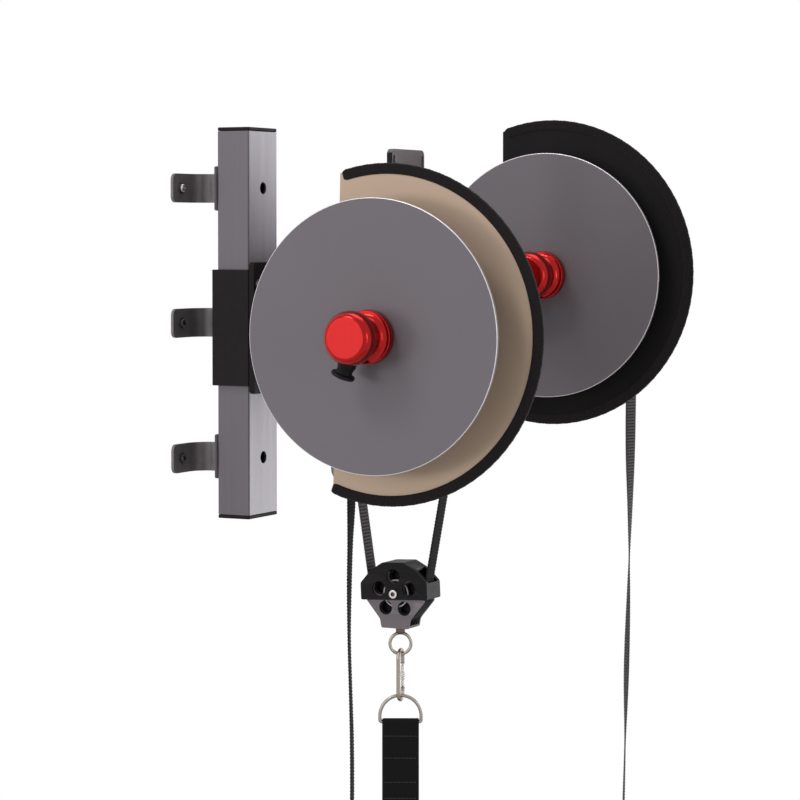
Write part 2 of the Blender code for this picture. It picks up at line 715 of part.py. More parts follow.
def head_frame(name, head_y, axis_z, finishes):
    """A U-shaped bearing frame: a back web and two cheeks with a round nose about the shaft."""
    nose_x = SHAFT_X - HEAD_BACK_X
    half = HEAD_HEIGHT / 2
    outline = [(0.0, half), (0.0, -half), (HEAD_NOSE / 2, -half)]
    outline += arc(nose_x, 0.0, HEAD_NOSE, -80, 80, 8)
    outline += [(HEAD_NOSE / 2, half)]
    centre = (HEAD_BACK_X, head_y, axis_z)
    frame = as_mesh(flat_shape(name, [outline], HEAD_WIDTH, centre, STAND_XZ, finishes["frame"]))
    reach = 2 * nose_x
    size = (reach, HEAD_WIDTH - 2 * HEAD_SHEET, 2 * HEAD_HEIGHT)
    inside = box(f"{name} inside", size, (HEAD_BACK_X + HEAD_SHEET + reach / 2, head_y, axis_z), None)
    boolean(frame, as_cutter(inside))
    place = (SHAFT_X, head_y, axis_z)
    bore = cylinder(f"{name} bore", SHAFT / 2 + RUNNING_FIT, 2 * HEAD_WIDTH, place, "Y", None, 20)
    boolean(frame, as_cutter(bore))


def housing(name, guard_y, cheek_y, axis_z, finishes):
    """The flanged tube that carries the guard and covers the shaft."""
    bore = HOUSING_BORE / 2
    front = -(guard_y + GUARD_SHEET + FIT)
    back = -(cheek_y - FIT)
    flange = HOUSING_FLANGE / 2
    profile = [
        (bore, front),
        (flange, front),
        (flange, front - HOUSING_FLANGE_THICKNESS),
        (HOUSING / 2 + 0.004, front - HOUSING_FLANGE_THICKNESS),
        (HOUSING / 2, front - HOUSING_FLANGE_THICKNESS - 0.004),
        (HOUSING / 2, back),
        (bore, back),
    ]
    turned(name, profile, (SHAFT_X, 0.0, axis_z), STAND_XZ, finishes["frame"], 24)


def guard(prefix, front_y, centre, material, trim_material, lean):
    """A guard sheet cut by an upright chord, with the trim that wraps its arc."""
    reach = centre[0] - GUARD_CHORD_X
    sheet_radius = GUARD_RADIUS - GUARD_FIT
    cut = degrees_of(reach / sheet_radius)
    outline = arc(0, 0, sheet_radius, -(180 - cut), 180 - cut, 48)
    hole = circle(GUARD_BORE / 2, 20, SHAFT_X - centre[0], 0.0)
    turn = (pi / 2, radians(lean), 0.0)
    middle = (centre[0], front_y + GUARD_SHEET / 2, centre[1])
    flat_shape(f"{prefix}_guard", [outline, hole], GUARD_SHEET, middle, turn, material)

    outer = GUARD_RADIUS + 0.002
    inner = outer - TRIM_WIDTH
    cut = degrees_of(reach / outer)
    inner_cut = degrees_of(reach / inner)
    outline = arc(0, 0, outer, -(180 - cut), 180 - cut, 44)
    outline += arc(0, 0, inner, 180 - inner_cut, -(180 - inner_cut), 44)
    trim = as_mesh(flat_shape(f"{prefix}_guard_trim", [outline], TRIM_THICKNESS, middle, turn, trim_material))
    groove = flat_shape(
        f"{prefix} trim groove", [circle(GUARD_RADIUS, 56)], GUARD_SHEET + 2 * FIT, middle, turn, None
    )
    boolean(trim, as_cutter(as_mesh(groove)))


def degrees_of(cosine):
    """The angle in degrees whose cosine this is."""
    return acos(cosine) * 180 / pi


def knob_profile():
    """The red knob from its front face back to the disc, with a blind bore for the shaft end."""
    face = KNOB_FACE / 2
    front = KNOB / 2
    neck = KNOB_NECK / 2
    base = KNOB_BASE / 2
    bore = SHAFT / 2 + FIT
    shoulder = KNOB_LENGTH - KNOB_SHOULDER
    points = [(0.0, KNOB_LENGTH)]
    for step in range(6):
        turn = pi / 2 * step / 5
        points.append((face + (front - face) * sin(turn), shoulder + KNOB_SHOULDER * cos(turn)))
    for step in range(1, 4):
        turn = pi / 2 * step / 3
        points.append((neck + (front - neck) * cos(turn), shoulder - KNOB_BACK * sin(turn)))
    flare_top = KNOB_BASE_LENGTH + KNOB_FLARE
    for step in range(5):
        turn = pi / 2 * step / 4
        points.append((base - 0.0015 - (base - 0.0015 - neck) * cos(turn), flare_top - KNOB_FLARE * sin(turn)))
    points += [(base, KNOB_BASE_LENGTH - 0.0025), (base, 0.003), (base - 0.002, 0.0)]
    points += [(bore, 0.0), (bore, KNOB_BORE_DEPTH), (0.0, KNOB_BORE_DEPTH)]
    return points


def plunger_places(disc_y, axis_z):
    """The plunger's parent: its local Z points out of the knob, down and towards the wall."""
    return (SHAFT_X, disc_y - PLUNGER_OFFSET, axis_z), (0.0, radians(180 + PLUNGER_TILT), 0.0)


def flywheel(prefix, disc_y, head_y, guard_y, axis_z, turns, strap_end, finishes):
    """The turning group of one head: disc, knob, sprung plunger, shaft with its spool, and wound strap."""
    place = (SHAFT_X, disc_y, axis_z)
    half = DISC / 2
    hole = SHAFT / 2 + FIT
    profile = [
        (hole, 0.0),
        (half - DISC_EDGE, 0.0),
        (half, -DISC_EDGE),
        (half, -DISC_THICKNESS + DISC_EDGE),
        (half - DISC_EDGE, -DISC_THICKNESS),
        (hole, -DISC_THICKNESS),
    ]
    turned(f"{prefix}_disc", profile, place, STAND_XZ, finishes["disc"], 64)

    knob_place = (SHAFT_X, disc_y - FIT, axis_z)
    knob = turned(f"{prefix}_knob", knob_profile(), knob_place, STAND_XZ, finishes["red"], 28)
    centre, rotation = plunger_places(disc_y, axis_z)
    socket = cylinder(f"{prefix} plunger socket", PLUNGER_STEM / 2 + RUNNING_FIT, 0.020, centre, "Z", None, 20)
    socket.rotation_euler = rotation
    floor = KNOB_NECK / 2 - PLUNGER_STEM_LENGTH - 0.006
    reach = Vector((sin(rotation[1]), 0.0, cos(rotation[1])))
    socket.location = Vector(centre) + reach * (floor + 0.010)
    boolean(knob, as_cutter(socket))

    seat = PLUNGER_SEAT
    collar = PLUNGER_COLLAR / 2
    boss = KNOB_NECK / 2 + FIT
    neck = PLUNGER_NECK / 2
    cap = PLUNGER_CAP / 2
    stem = PLUNGER_STEM / 2
    under = PLUNGER_REACH - PLUNGER_CAP_LENGTH
    profile = [
        (0.0, PLUNGER_REACH),
        (cap - 0.0012, PLUNGER_REACH - 0.0020),
        (cap, PLUNGER_REACH - 0.0034),
        (cap - 0.0010, under),
        (neck - 0.001, under - 0.001),
        (neck - 0.0016, under - 0.006),
        (neck, seat + 0.004),
        (neck, seat),
        (collar, seat),
        (collar, boss),
        (stem, boss),
        (stem, KNOB_NECK / 2 - PLUNGER_STEM_LENGTH),
        (0.0, KNOB_NECK / 2 - PLUNGER_STEM_LENGTH),
    ]
    turned(f"{prefix}_plunger", profile, centre, rotation, finishes["black"], 18)
    shaft(prefix, disc_y, head_y, guard_y, axis_z, finishes)
    coil(prefix, head_y, axis_z, turns, strap_end, finishes)


def shaft(prefix, disc_y, head_y, guard_y, axis_z, finishes):
    """The turned shaft: threaded end, hub behind the disc, and the strap spool between the cheeks."""
    radius = SHAFT / 2
    hub_front = -(disc_y + DISC_THICKNESS + FIT)
    hub_back = -(guard_y - HUB_GAP)
    flange = SPOOL_FLANGE / 2
    spool_front = -(head_y - SPOOL_GAP / 2)
    spool_back = -(head_y + SPOOL_GAP / 2)
    thickness = SPOOL_FLANGE_THICKNESS
    end = -(head_y + HEAD_WIDTH / 2 + 0.008)
    profile = [
        (0.0, -disc_y + KNOB_BORE_DEPTH - 0.002),
        (radius, -disc_y + KNOB_BORE_DEPTH - 0.002),
        (radius, hub_front),
        (HUB / 2, hub_front),
        (HUB / 2, hub_back),
        (radius, hub_back),
        (radius, spool_front + thickness),
        (flange, spool_front + thickness),
        (flange, spool_front),
        (SPOOL_CORE / 2, spool_front),
        (SPOOL_CORE / 2, spool_back),
        (flange, spool_back),
        (flange, spool_back - thickness),
        (radius, spool_back - thickness),
        (radius, end),
        (0.0, end),
    ]
    turned(f"{prefix}_shaft", profile, (SHAFT_X, 0.0, axis_z), STAND_XZ, finishes["steel"], 20)


def spiral(turns, end_turn):
    """Points of the wound strap's middle line, growing outwards to where it leaves the spool."""
    steps = round(turns * TURN_STEPS)
    points = []
    for step in range(steps + 1):
        share = step / steps
        radius = STRAP_START + STRAP_PITCH * turns * share
        turn = end_turn + 2 * pi * turns * (1 - share)
        points.append((radius * cos(turn), radius * sin(turn)))
    return points


def print_least_gap(name, points):
    """Print the least gap between one turn of a wound strap and the next."""
    least = min(
        hypot(x - points[index + TURN_STEPS][0], y - points[index + TURN_STEPS][1])
        for index, (x, y) in enumerate(points[:-TURN_STEPS])
    )
    print(f"{name}: least gap between turns {1000 * (least - STRAP):.2f} mm")


def coil(prefix, head_y, axis_z, turns, end_turn, finishes):
    """The strap wound on the spool as one unbroken spiral band."""
    points = spiral(turns, end_turn)
    name = f"{prefix}_strap_coil"
    print_least_gap(name, points)
    outline = strip_outline(points, STRAP)
    flat_shape(name, [outline], STRAP_WIDTH, (SHAFT_X, head_y, axis_z), STAND_XZ, finishes["strap"])


def outer_tangent(first, first_radius, second, second_radius, side):
    """The tangent points of a straight strap run between two circles, on one side of both."""
    across = second[0] - first[0]
    up = second[1] - first[1]
    distance = hypot(across, up)
    heading = atan2(up, across)
    turn = heading - side * acos((first_radius - second_radius) / distance)
    normal = (cos(turn), sin(turn))
    start = (first[0] + first_radius * normal[0], first[1] + first_radius * normal[1])
    end = (second[0] + second_radius * normal[0], second[1] + second_radius * normal[1])
    return start, end, turn


def strap_runs():
    """Where the V-shaped strap touches the sheave, the near spool and the lock bar."""
    sheave = (BLOCK_X, BLOCK_Z)
    right = outer_tangent(sheave, SHEAVE_STRAP, (SHAFT_X, NEAR_Z), NEAR_COIL, 1)
    left = crossing_tangent(sheave, SHEAVE_STRAP, (LOCK_X, LOCK_Z), LOCK_STRAP)
    return right, left


def crossing_tangent(first, first_radius, second, second_radius):
    """The run from the first circle's wall side to the second circle's room side."""
    across = second[0] - first[0]
    up = second[1] - first[1]
    distance = hypot(across, up)
    heading = atan2(up, across)
    turn = heading + acos((first_radius + second_radius) / distance)
    normal = (cos(turn), sin(turn))
    start = (first[0] + first_radius * normal[0], first[1] + first_radius * normal[1])
    end = (second[0] - second_radius * normal[0], second[1] - second_radius * normal[1])
    return start, end, turn


def shortened(start, end, cut):
    """A run with the same length taken off both of its ends."""
    direction = (Vector(end) - Vector(start)).normalized() * cut
    return [tuple(Vector(start) + direction), tuple(Vector(end) - direction)]


def straps(finishes):
    """The strap's straight runs, its bend round the sheave and its fold over the lock bar."""
    right, left = strap_runs()
    for name, run in (("strap_run_right", right), ("strap_run_left", left)):
        outline = strip_outline(shortened(run[0], run[1], FIT / 2), STRAP)
        flat_shape(name, [outline], STRAP_WIDTH, (0, 0, 0), STAND_XZ, finishes["strap"])
    start = left[2] * 180 / pi
    end = right[2] * 180 / pi + 360
    gap = FIT / SHEAVE_STRAP * 180 / pi / 2
    points = arc(BLOCK_X, BLOCK_Z, SHEAVE_STRAP, start + gap, end - gap, 14)
    flat_shape("strap_bend", [strip_outline(points, STRAP)], STRAP_WIDTH, (0, 0, 0), STAND_XZ, finishes["strap"])
    start = left[2] * 180 / pi - 180
    gap = FIT / LOCK_STRAP * 180 / pi / 2
    points = arc(LOCK_X, LOCK_Z, LOCK_STRAP, start + gap, 180 - gap, 8)
    flat_shape("strap_fold", [strip_outline(points, STRAP)], STRAP_WIDTH, (0, 0, 0), STAND_XZ, finishes["strap"])


def eased(values, share):
    """A smooth value through four neighbours, between the middle two."""
    before, start, end, after = values
    return 0.5 * (
        2 * start
        + (end - before) * share
        + (2 * before - 5 * start + 4 * end - after) * share**2
        + (3 * start - before - 3 * end + after) * share**3
    )


def smooth_route(route):
    """The hand-chosen route with smooth points between its own."""
    padded = [route[0], *route, route[-1]]
    points = []
    for index in range(len(route) - 1):
        four = padded[index : index + 4]
        for step in range(ROUTE_STEPS):
            share = step / ROUTE_STEPS
            points.append(tuple(eased([item[part] for item in four], share) for part in range(3)))
    return points + [route[-1]]


def hanging_strap(name, route, x, y, top, finishes):
    """A free flat strap, lofted through its route, that twists a little as it hangs."""
    mesh = bpy.data.meshes.new(name)
    cage = bmesh.new()
    rings = []
    for height, shift, turn in smooth_route(((top, 0.0, 0.0), *route)):
        wide = Vector((-sin(radians(turn)), cos(radians(turn)), 0.0)) * STRAP_WIDTH / 2
        thick = Vector((cos(radians(turn)), sin(radians(turn)), 0.0)) * STRAP / 2
        middle = Vector((x + shift, y, height))
        corners = (wide + thick, wide - thick, -wide - thick, -wide + thick)
        rings.append([cage.verts.new(middle + corner) for corner in corners])
    for upper, lower in zip(rings, rings[1:]):
        for side in range(4):
            after = (side + 1) % 4
            cage.faces.new((upper[side], upper[after], lower[after], lower[side]))
    cage.faces.new(rings[0])
    cage.faces.new(rings[-1])
    bmesh.ops.recalc_face_normals(cage, faces=cage.faces)
    cage.to_mesh(mesh)
    cage.free()
    return add(name, mesh, finishes["strap"])


def free_straps(finishes):
    """The tail below the lock bar, and the far head's strap below its spool."""
    tail_top = LOCK_Z - FIT
    hanging_strap("near_strap_tail", TAIL_ROUTE, LOCK_X - LOCK_STRAP, 0.0, tail_top, finishes)
    wrap = FAR_COIL + STRAP + FIT
    strap = hanging_strap("far_strap", FAR_STRAP_ROUTE, SHAFT_X + wrap, FAR_HEAD_Y, FAR_Z + STRAP / 2, finishes)
    points = arc(SHAFT_X, FAR_Z, wrap, 100, 0, 12)
    place = (0, FAR_HEAD_Y, 0)
    lead = flat_shape("far strap lead", [strip_outline(points, STRAP)], STRAP_WIDTH, place, STAND_XZ, None)
    boolean(strap, as_cutter(as_mesh(lead)), "UNION")


def strap_lock(finishes):
    """The hanger under the arm with its bar, and the cam lever that pinches the tail on the bar."""
    top = NEAR_Z - ARM / 2 - FIT
    bottom = LOCK_Z - LOCK_BELOW
    height = top - bottom
    corner = LOCK_LENGTH / 2 - 0.004
    half = LOCK_LENGTH / 2
    outline = [(half, height / 2), (-half, height / 2)]
    outline += arc(0, -height / 2 + half, half, 180, 360, 6)
    centre_x = LOCK_X - 0.006
    centre = (centre_x, 0, (top + bottom) / 2)
    hanger = as_mesh(flat_shape("lock_hanger", [outline], LOCK_WIDTH + 2 * LOCK_SHEET, centre, STAND_XZ, finishes["frame"]))
    size = (2 * LOCK_LENGTH, LOCK_WIDTH, height)
    inside = box("hanger inside", size, (centre_x, 0, centre[2] - LOCK_SHEET), None)
    boolean(hanger, as_cutter(inside))
    window = box("hanger window", (corner, 2 * LOCK_WIDTH, height / 2), (centre_x, 0, top - height * 0.38), None)
    rounded(window, 0.004, 1)
    boolean(hanger, as_cutter(window))
    full = LOCK_WIDTH + 2 * LOCK_SHEET
    bar_hole = cylinder("bar hole", LOCK_BAR / 2 + FIT, 2 * full, (LOCK_X, 0, LOCK_Z), "Y", None, 20)
    boolean(hanger, as_cutter(bar_hole))
    bar = cylinder("lock_bar", LOCK_BAR / 2, full + 0.002, (LOCK_X, 0, LOCK_Z), "Y", finishes["steel"], 20)
    rounded(bar, 0.0006, 1)

    pinch = LOCK_X - LOCK_STRAP - STRAP / 2 - FIT
    cam_x = pinch - CAM_RADIUS
    pin_x = cam_x - CAM_OFFSET
    pin_hole = cylinder("pin hole", CAM_PIN / 2 + RUNNING_FIT, 2 * full, (pin_x, 0, LOCK_Z), "Y", None, 20)
    boolean(hanger, as_cutter(pin_hole))
    outline = arc(CAM_OFFSET, 0, CAM_RADIUS, -90, 90, 10)
    outline += [(-CAM_RADIUS * 0.55, CAM_RADIUS), (-CAM_RADIUS * 0.55 - 0.001, -LEVER_LENGTH * 0.2)]
    lever = LEVER_THICKNESS
    outline += [(-CAM_RADIUS, -LEVER_LENGTH), (-CAM_RADIUS + lever, -LEVER_LENGTH), (CAM_OFFSET - 0.004, -CAM_RADIUS)]
    cam = as_mesh(flat_shape("cam_lever", [outline], CAM_WIDTH, (pin_x, 0, LOCK_Z), STAND_XZ, finishes["black"]))
    pin = cylinder("cam pin", CAM_PIN / 2, full + 0.002, (pin_x, 0, LOCK_Z), "Y", None, 20)
    boolean(cam, as_cutter(pin), "UNION")


def cover_outline():
    """The pulley cover's outline about the axle."""
    half = [
        (COVER_HALF_TOP, COVER_TOP),
        COVER_SHOULDER,
        (COVER_HALF_WIDTH, COVER_SIDE_TOP),
        (COVER_HALF_WIDTH, COVER_BOTTOM),
    ]
    return half + [(-x, y) for x, y in half[::-1]]


def pentagon_holes(radius, circle_radius):
    """Round holes spaced about the axle, one of them straight up."""
    holes = []
    for number in range(SHEAVE_HOLES):
        turn = pi / 2 + 2 * pi * number / SHEAVE_HOLES
        holes.append((circle_radius * cos(turn), circle_radius * sin(turn), radius))
    return holes


def cut_holes(obj, prefix, holes, depth):
    """Cut round holes along Y about the pulley axle."""
    for number, (x, z, radius) in enumerate(holes):
        place = (BLOCK_X + x, 0, BLOCK_Z + z)
        boolean(obj, as_cutter(cylinder(f"{prefix} hole {number}", radius, depth, place, "Y", None, 14)))


def pulley_block(finishes):
    """The hanging block: a U-shaped frame, the black cover over it, the sheave and its axle."""
    centre = (BLOCK_X, 0, BLOCK_Z)
    holes = pentagon_holes(BLOCK_HOLE / 2, SHEAVE_HOLE_CIRCLE)
    cover = as_mesh(flat_shape("pulley_cover", [cover_outline()], BLOCK_DEPTH, centre, STAND_XZ, finishes["black"]))
    inner = [(x * 0.94, y - COVER_SHEET if y > 0 else y - 0.010) for x, y in cover_outline()]
    inner_depth = BLOCK_DEPTH - 2 * COVER_SHEET
    inside = as_mesh(flat_shape("cover inside", [inner], inner_depth, centre, STAND_XZ, None))
    boolean(cover, as_cutter(inside))
    for side in (-1, 1):
        window_middle = side * (COVER_SHOULDER[0] + 0.0055)
        size = (0.020, STRAP_WIDTH + 0.004, 0.040)
        place = (BLOCK_X + window_middle, 0, BLOCK_Z + COVER_SHOULDER[1])
        boolean(cover, as_cutter(box(f"strap window {side}", size, place, None)))
    cut_holes(cover, "cover", holes + [(0, 0, AXLE / 2 + FIT)], 2 * BLOCK_DEPTH)

    half = [
        (FRAME_TOP * 0.6, FRAME_TOP),
        (FRAME_TOP, FRAME_TOP * 0.6),
        (0.0440, -0.0090),
        FRAME_KNEE,
        (FRAME_WAIST, FRAME_WAIST_Z),
        (FRAME_FOOT, FRAME_FOOT_Z),
    ]
    outline = half + [(-x, y) for x, y in half[::-1]]
    frame_depth = inner_depth - 2 * FIT
    frame = as_mesh(flat_shape("pulley_frame", [outline], frame_depth, centre, STAND_XZ, finishes["disc"]))
    gap = frame_depth - 2 * FRAME_SHEET
    size = (0.2, gap, 0.1)
    web_top = FRAME_FOOT_Z + FRAME_WEB
    inside = box("frame inside", size, (BLOCK_X, 0, BLOCK_Z + web_top + 0.05), None)
    boolean(frame, as_cutter(inside))
    cut_holes(frame, "frame", holes + [(0, 0, AXLE / 2 + FIT)], 2 * BLOCK_DEPTH)
    stub_hole = cylinder("stub hole", 0.004 + FIT, 0.030, (BLOCK_X, 0, BLOCK_Z + FRAME_FOOT_Z), "Z", None, 20)
    boolean(frame, as_cutter(stub_hole))

    head = AXLE_HEAD / 2
    outside = BLOCK_DEPTH / 2 + FIT
    profile = [
        (0.0, outside + 0.0010),
        (AXLE * 0.28, outside + 0.0010),
        (AXLE * 0.28, outside + AXLE_HEAD_LENGTH),
        (head - 0.0008, outside + AXLE_HEAD_LENGTH),
        (head, outside + AXLE_HEAD_LENGTH - 0.0008),
        (head, outside),
        (AXLE / 2, outside),
        (AXLE / 2, -outside),
        (head, -outside),
        (head, -outside - AXLE_HEAD_LENGTH),
        (0.0, -outside - AXLE_HEAD_LENGTH),
    ]
    turned("pulley_axle", profile, centre, STAND_XZ, finishes["screw"], 16)

    bore = circle(AXLE / 2 + RUNNING_FIT, 16)
    windows = [circle(SHEAVE_HOLE / 2 - 0.001, 12, x, z) for x, z, _ in holes]
    flat_shape("pulley_sheave", [circle(SHEAVE_RADIUS, 40), bore, *windows], SHEAVE_WIDTH, centre, STAND_XZ, finishes["black"])


def facing(x, z):
    """A point in the upright plane that faces the picture, through the pulley's axis."""
    turn = radians(TURN)
    return (BLOCK_X + x * cos(turn), x * sin(turn), z)


def across(y, z):
    """A point in the upright plane square to that one."""
    turn = radians(TURN)
    return (BLOCK_X - y * sin(turn), y * cos(turn), z)


def hook_points(top, bottom, half_width):
    """The snap hook's wire, from the gate's seat round the bottom, up its back and over the top."""
    low = bottom + half_width
    high = top - half_width
    points = [(half_width, low + GATE_LENGTH * 0.18)]
    points += [(y, z) for y, z in arc(0, low, half_width, 0, -180, 10)]
    points += [(y, z) for y, z in arc(0, high, half_width, 180, 0, 10)]
    points.append((half_width, low + GATE_LENGTH * 0.18 + GATE_LENGTH))
    return points


def hanging_hardware(finishes):
    """Swivel eye, snap hook with its gate, and the ring that holds the hand loop."""
    eye = [facing(x, z) for x, z in circle(EYE_RADIUS, 20, 0.0, EYE_Z)]
    ring = as_mesh(tube("swivel_eye", eye, EYE_WIRE, finishes["steel"], cyclic=True))
    stub_top = BLOCK_Z + FRAME_FOOT_Z - FIT
    eye_top = EYE_Z + EYE_RADIUS
    stub_length = stub_top - eye_top + 0.001
    stub = cylinder("swivel stub", SWIVEL_STUB / 2, stub_length, (BLOCK_X, 0, stub_top - stub_length / 2), "Z", None, 16)
    boolean(ring, as_cutter(stub), "UNION")
    pin_length = FRAME_WEB + 4 * FIT
    pin = cylinder("swivel pin", 0.004, pin_length + 0.002, (BLOCK_X, 0, stub_top + pin_length / 2 - 0.001), "Z", None, 12)
    boolean(ring, as_cutter(pin), "UNION")

    top = EYE_Z - EYE_RADIUS + EYE_WIRE / 2 + HOOK_WIRE / 2 + FIT
    bottom = top - HOOK_LENGTH
    path = hook_points(top, bottom, HOOK_HALF_WIDTH)
    hook = [across(y, z) for y, z in path]
    tube("snap_hook", hook, HOOK_WIRE, finishes["steel"])
    gate_tip = GATE_WIRE / 2
    gate_low = path[0][1] + FIT
    gate_high = path[-1][1] - FIT
    heights = (gate_low, gate_high - gate_tip, gate_high - 0.3 * gate_tip, gate_high)
    gate = tube("hook_gate", [across(HOOK_HALF_WIDTH, z) for z in heights], GATE_WIRE, finishes["screw"])
    for point, share in zip(gate.data.splines[0].points, (1.0, 1.0, 0.7, 0.15)):
        point.radius = share

    ring_top = bottom + HOOK_WIRE / 2 + RING_WIRE / 2 + FIT
    low = ring_top - RING_HEIGHT
    corner = RING_CORNER
    points = arc(0, ring_top - RING_HALF_WIDTH, RING_HALF_WIDTH, 0, 180, 12)
    points += arc(-RING_HALF_WIDTH + corner, low + corner, corner, 180, 270, 3)
    points += arc(RING_HALF_WIDTH - corner, low + corner, corner, 270, 360, 3)
    d_ring = [facing(x, z) for x, z in points]
    tube("d_ring", d_ring, RING_WIRE, finishes["steel"], cyclic=True)
    hand_loop(low, finishes)


def hand_loop(bar_z, finishes):
    """The webbing loop sewn round the ring's bar, opening to a hand loop with a padded sleeve."""
    half = WEBBING
    eye = RING_WIRE / 2 + FIT
    outer_eye = eye + WEBBING
    neck_top = bar_z - outer_eye
    neck_bottom = neck_top - NECK_LENGTH
    bottom = neck_bottom - LOOP_HEIGHT
    slope = atan2(LOOP_HALF_WIDTH, LOOP_HEIGHT)
    left = [(-half, neck_bottom)]
    left += arc(-LOOP_HALF_WIDTH + LOOP_CORNER, bottom + LOOP_CORNER, LOOP_CORNER, 180 - slope * 30, 270, 6)
    outline = arc(0, bar_z, outer_eye, -48, 228, 16)
    outline += [(-half, neck_top - 0.004)] + left
    outline += [(-x, z) for x, z in left[::-1]] + [(half, neck_top - 0.004)]
    hole_eye = circle(eye, 16, 0, bar_z)
    inner_corner = LOOP_CORNER - WEBBING
    inner_left = [(0.0, neck_bottom - WEBBING * 1.6 / tan(slope) * 0.5)]
    inner_left += arc(
        -LOOP_HALF_WIDTH + LOOP_CORNER, bottom + LOOP_CORNER, inner_corner, 180 - slope * 30, 270, 6
    )
    inner = inner_left + [(-x, z) for x, z in inner_left[:0:-1]]
    turn = (pi / 2, 0.0, radians(TURN) + pi / 2)
    flat_shape("hand_loop", [outline, hole_eye, inner], WEBBING_WIDTH, (BLOCK_X, 0, 0), turn, finishes["webbing"])

    section = rounded_rectangle(GRIP_WIDTH, GRIP_THICKNESS, GRIP_THICKNESS / 2 - 0.0005, 6)
    slot = rounded_rectangle(WEBBING_WIDTH + 2 * FIT, WEBBING + 2 * FIT, 0.0006, 1)
    place = (BLOCK_X, 0, bottom + WEBBING / 2)
    turn = (pi / 2, 0.0, radians(TURN))
    sleeve = flat_shape("grip_sleeve", [section, slot], GRIP_LENGTH, place, turn, finishes["pad"])
    return sleeve


def main():
    """Build the whole trainer."""
    clear_scene()
    finishes = materials()
    post(finishes)
    wall_brackets(finishes)
    carriage(finishes)
    arms(finishes)
    spine(finishes)
    near_cheek = -HEAD_WIDTH / 2
    far_cheek = FAR_HEAD_Y - HEAD_WIDTH / 2
    head_frame("near_head_frame", 0.0, NEAR_Z, finishes)
    head_frame("far_head_frame", FAR_HEAD_Y, FAR_Z, finishes)
    housing("near_housing", NEAR_GUARD_Y, near_cheek, NEAR_Z, finishes)
    housing("far_housing", FAR_GUARD_Y, far_cheek, FAR_Z, finishes)
    guard("near", NEAR_GUARD_Y, (0.3865, -0.0055), finishes["sand"], finishes["trim"], 1.5)
    guard("far", FAR_GUARD_Y, (0.3906, 0.0676), finishes["guard"], finishes["trim"], 0.0)
    right, _ = strap_runs()
    gap = FIT / 2 / NEAR_COIL
    flywheel("near", NEAR_DISC_Y, 0.0, NEAR_GUARD_Y, NEAR_Z, NEAR_TURNS, right[2] + gap, finishes)
    flywheel("far", FAR_DISC_Y, FAR_HEAD_Y, FAR_GUARD_Y, FAR_Z, FAR_TURNS, pi / 2, finishes)
    straps(finishes)
    free_straps(finishes)
    strap_lock(finishes)
    pulley_block(finishes)
    hanging_hardware(finishes)


if __name__ == "__main__":
    main()
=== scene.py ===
"""Looks of the wall-mounted flywheel trainer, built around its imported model.

Units are metres in the part's own frame: the wall is X = 0, the shafts run along Y and Z is up.
"""

import json
import logging
from collections.abc import Callable, Iterable, Sequence
from dataclasses import dataclass, field, replace
from enum import Enum
from itertools import accumulate
from math import acos, atan2, cos, hypot, pi, radians, sin

import bmesh
import bpy
from mathutils import Euler, Matrix, Vector, geometry

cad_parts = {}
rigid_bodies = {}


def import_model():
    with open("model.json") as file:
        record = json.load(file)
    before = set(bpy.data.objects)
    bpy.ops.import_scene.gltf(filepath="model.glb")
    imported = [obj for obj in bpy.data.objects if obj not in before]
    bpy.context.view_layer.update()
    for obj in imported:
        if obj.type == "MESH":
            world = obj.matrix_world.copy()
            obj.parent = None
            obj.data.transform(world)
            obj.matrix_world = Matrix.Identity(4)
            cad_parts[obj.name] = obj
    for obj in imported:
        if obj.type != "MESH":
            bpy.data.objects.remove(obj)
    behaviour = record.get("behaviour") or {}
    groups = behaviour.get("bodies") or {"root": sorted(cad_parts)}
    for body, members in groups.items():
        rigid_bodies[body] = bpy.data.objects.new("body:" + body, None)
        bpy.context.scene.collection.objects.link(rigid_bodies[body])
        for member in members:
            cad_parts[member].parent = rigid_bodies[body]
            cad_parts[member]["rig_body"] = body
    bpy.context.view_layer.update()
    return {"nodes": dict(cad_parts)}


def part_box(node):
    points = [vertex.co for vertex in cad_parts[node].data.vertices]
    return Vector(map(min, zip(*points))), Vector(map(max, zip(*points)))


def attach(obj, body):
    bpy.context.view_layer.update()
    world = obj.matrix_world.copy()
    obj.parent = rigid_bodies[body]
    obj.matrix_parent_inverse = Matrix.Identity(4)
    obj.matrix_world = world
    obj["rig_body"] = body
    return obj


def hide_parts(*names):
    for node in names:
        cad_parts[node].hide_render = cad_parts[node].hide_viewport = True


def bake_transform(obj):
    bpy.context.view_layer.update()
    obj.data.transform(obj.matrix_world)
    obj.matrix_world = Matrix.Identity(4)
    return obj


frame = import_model()

LOG = logging.getLogger("trainer")

Flat = tuple[float, float]
Place = tuple[float, float, float]
Turn = tuple[float, float, float]
Line = Sequence[Flat]
Path = Sequence[Vector]
Piece = bpy.types.Object
Socket = bpy.types.NodeSocket

# Flat shapes drawn in local XY stand in world XZ or YZ, or lie flat
STAND_XZ: Turn = (pi / 2, 0.0, 0.0)
STAND_YZ: Turn = (pi / 2, 0.0, pi / 2)
LIE_FLAT: Turn = (0.0, 0.0, 0.0)
# Turned shapes stand along Z, or point along X, to the near side or to the far side
ALONG_X: Turn = (0.0, pi / 2, 0.0)
ALONG_Y: Turn = (pi / 2, 0.0, 0.0)
TO_FAR_SIDE: Turn = (-pi / 2, 0.0, 0.0)

# Signs of a rectangle's corners, anticlockwise
CORNERS = ((1, 1), (-1, 1), (-1, -1), (1, -1))

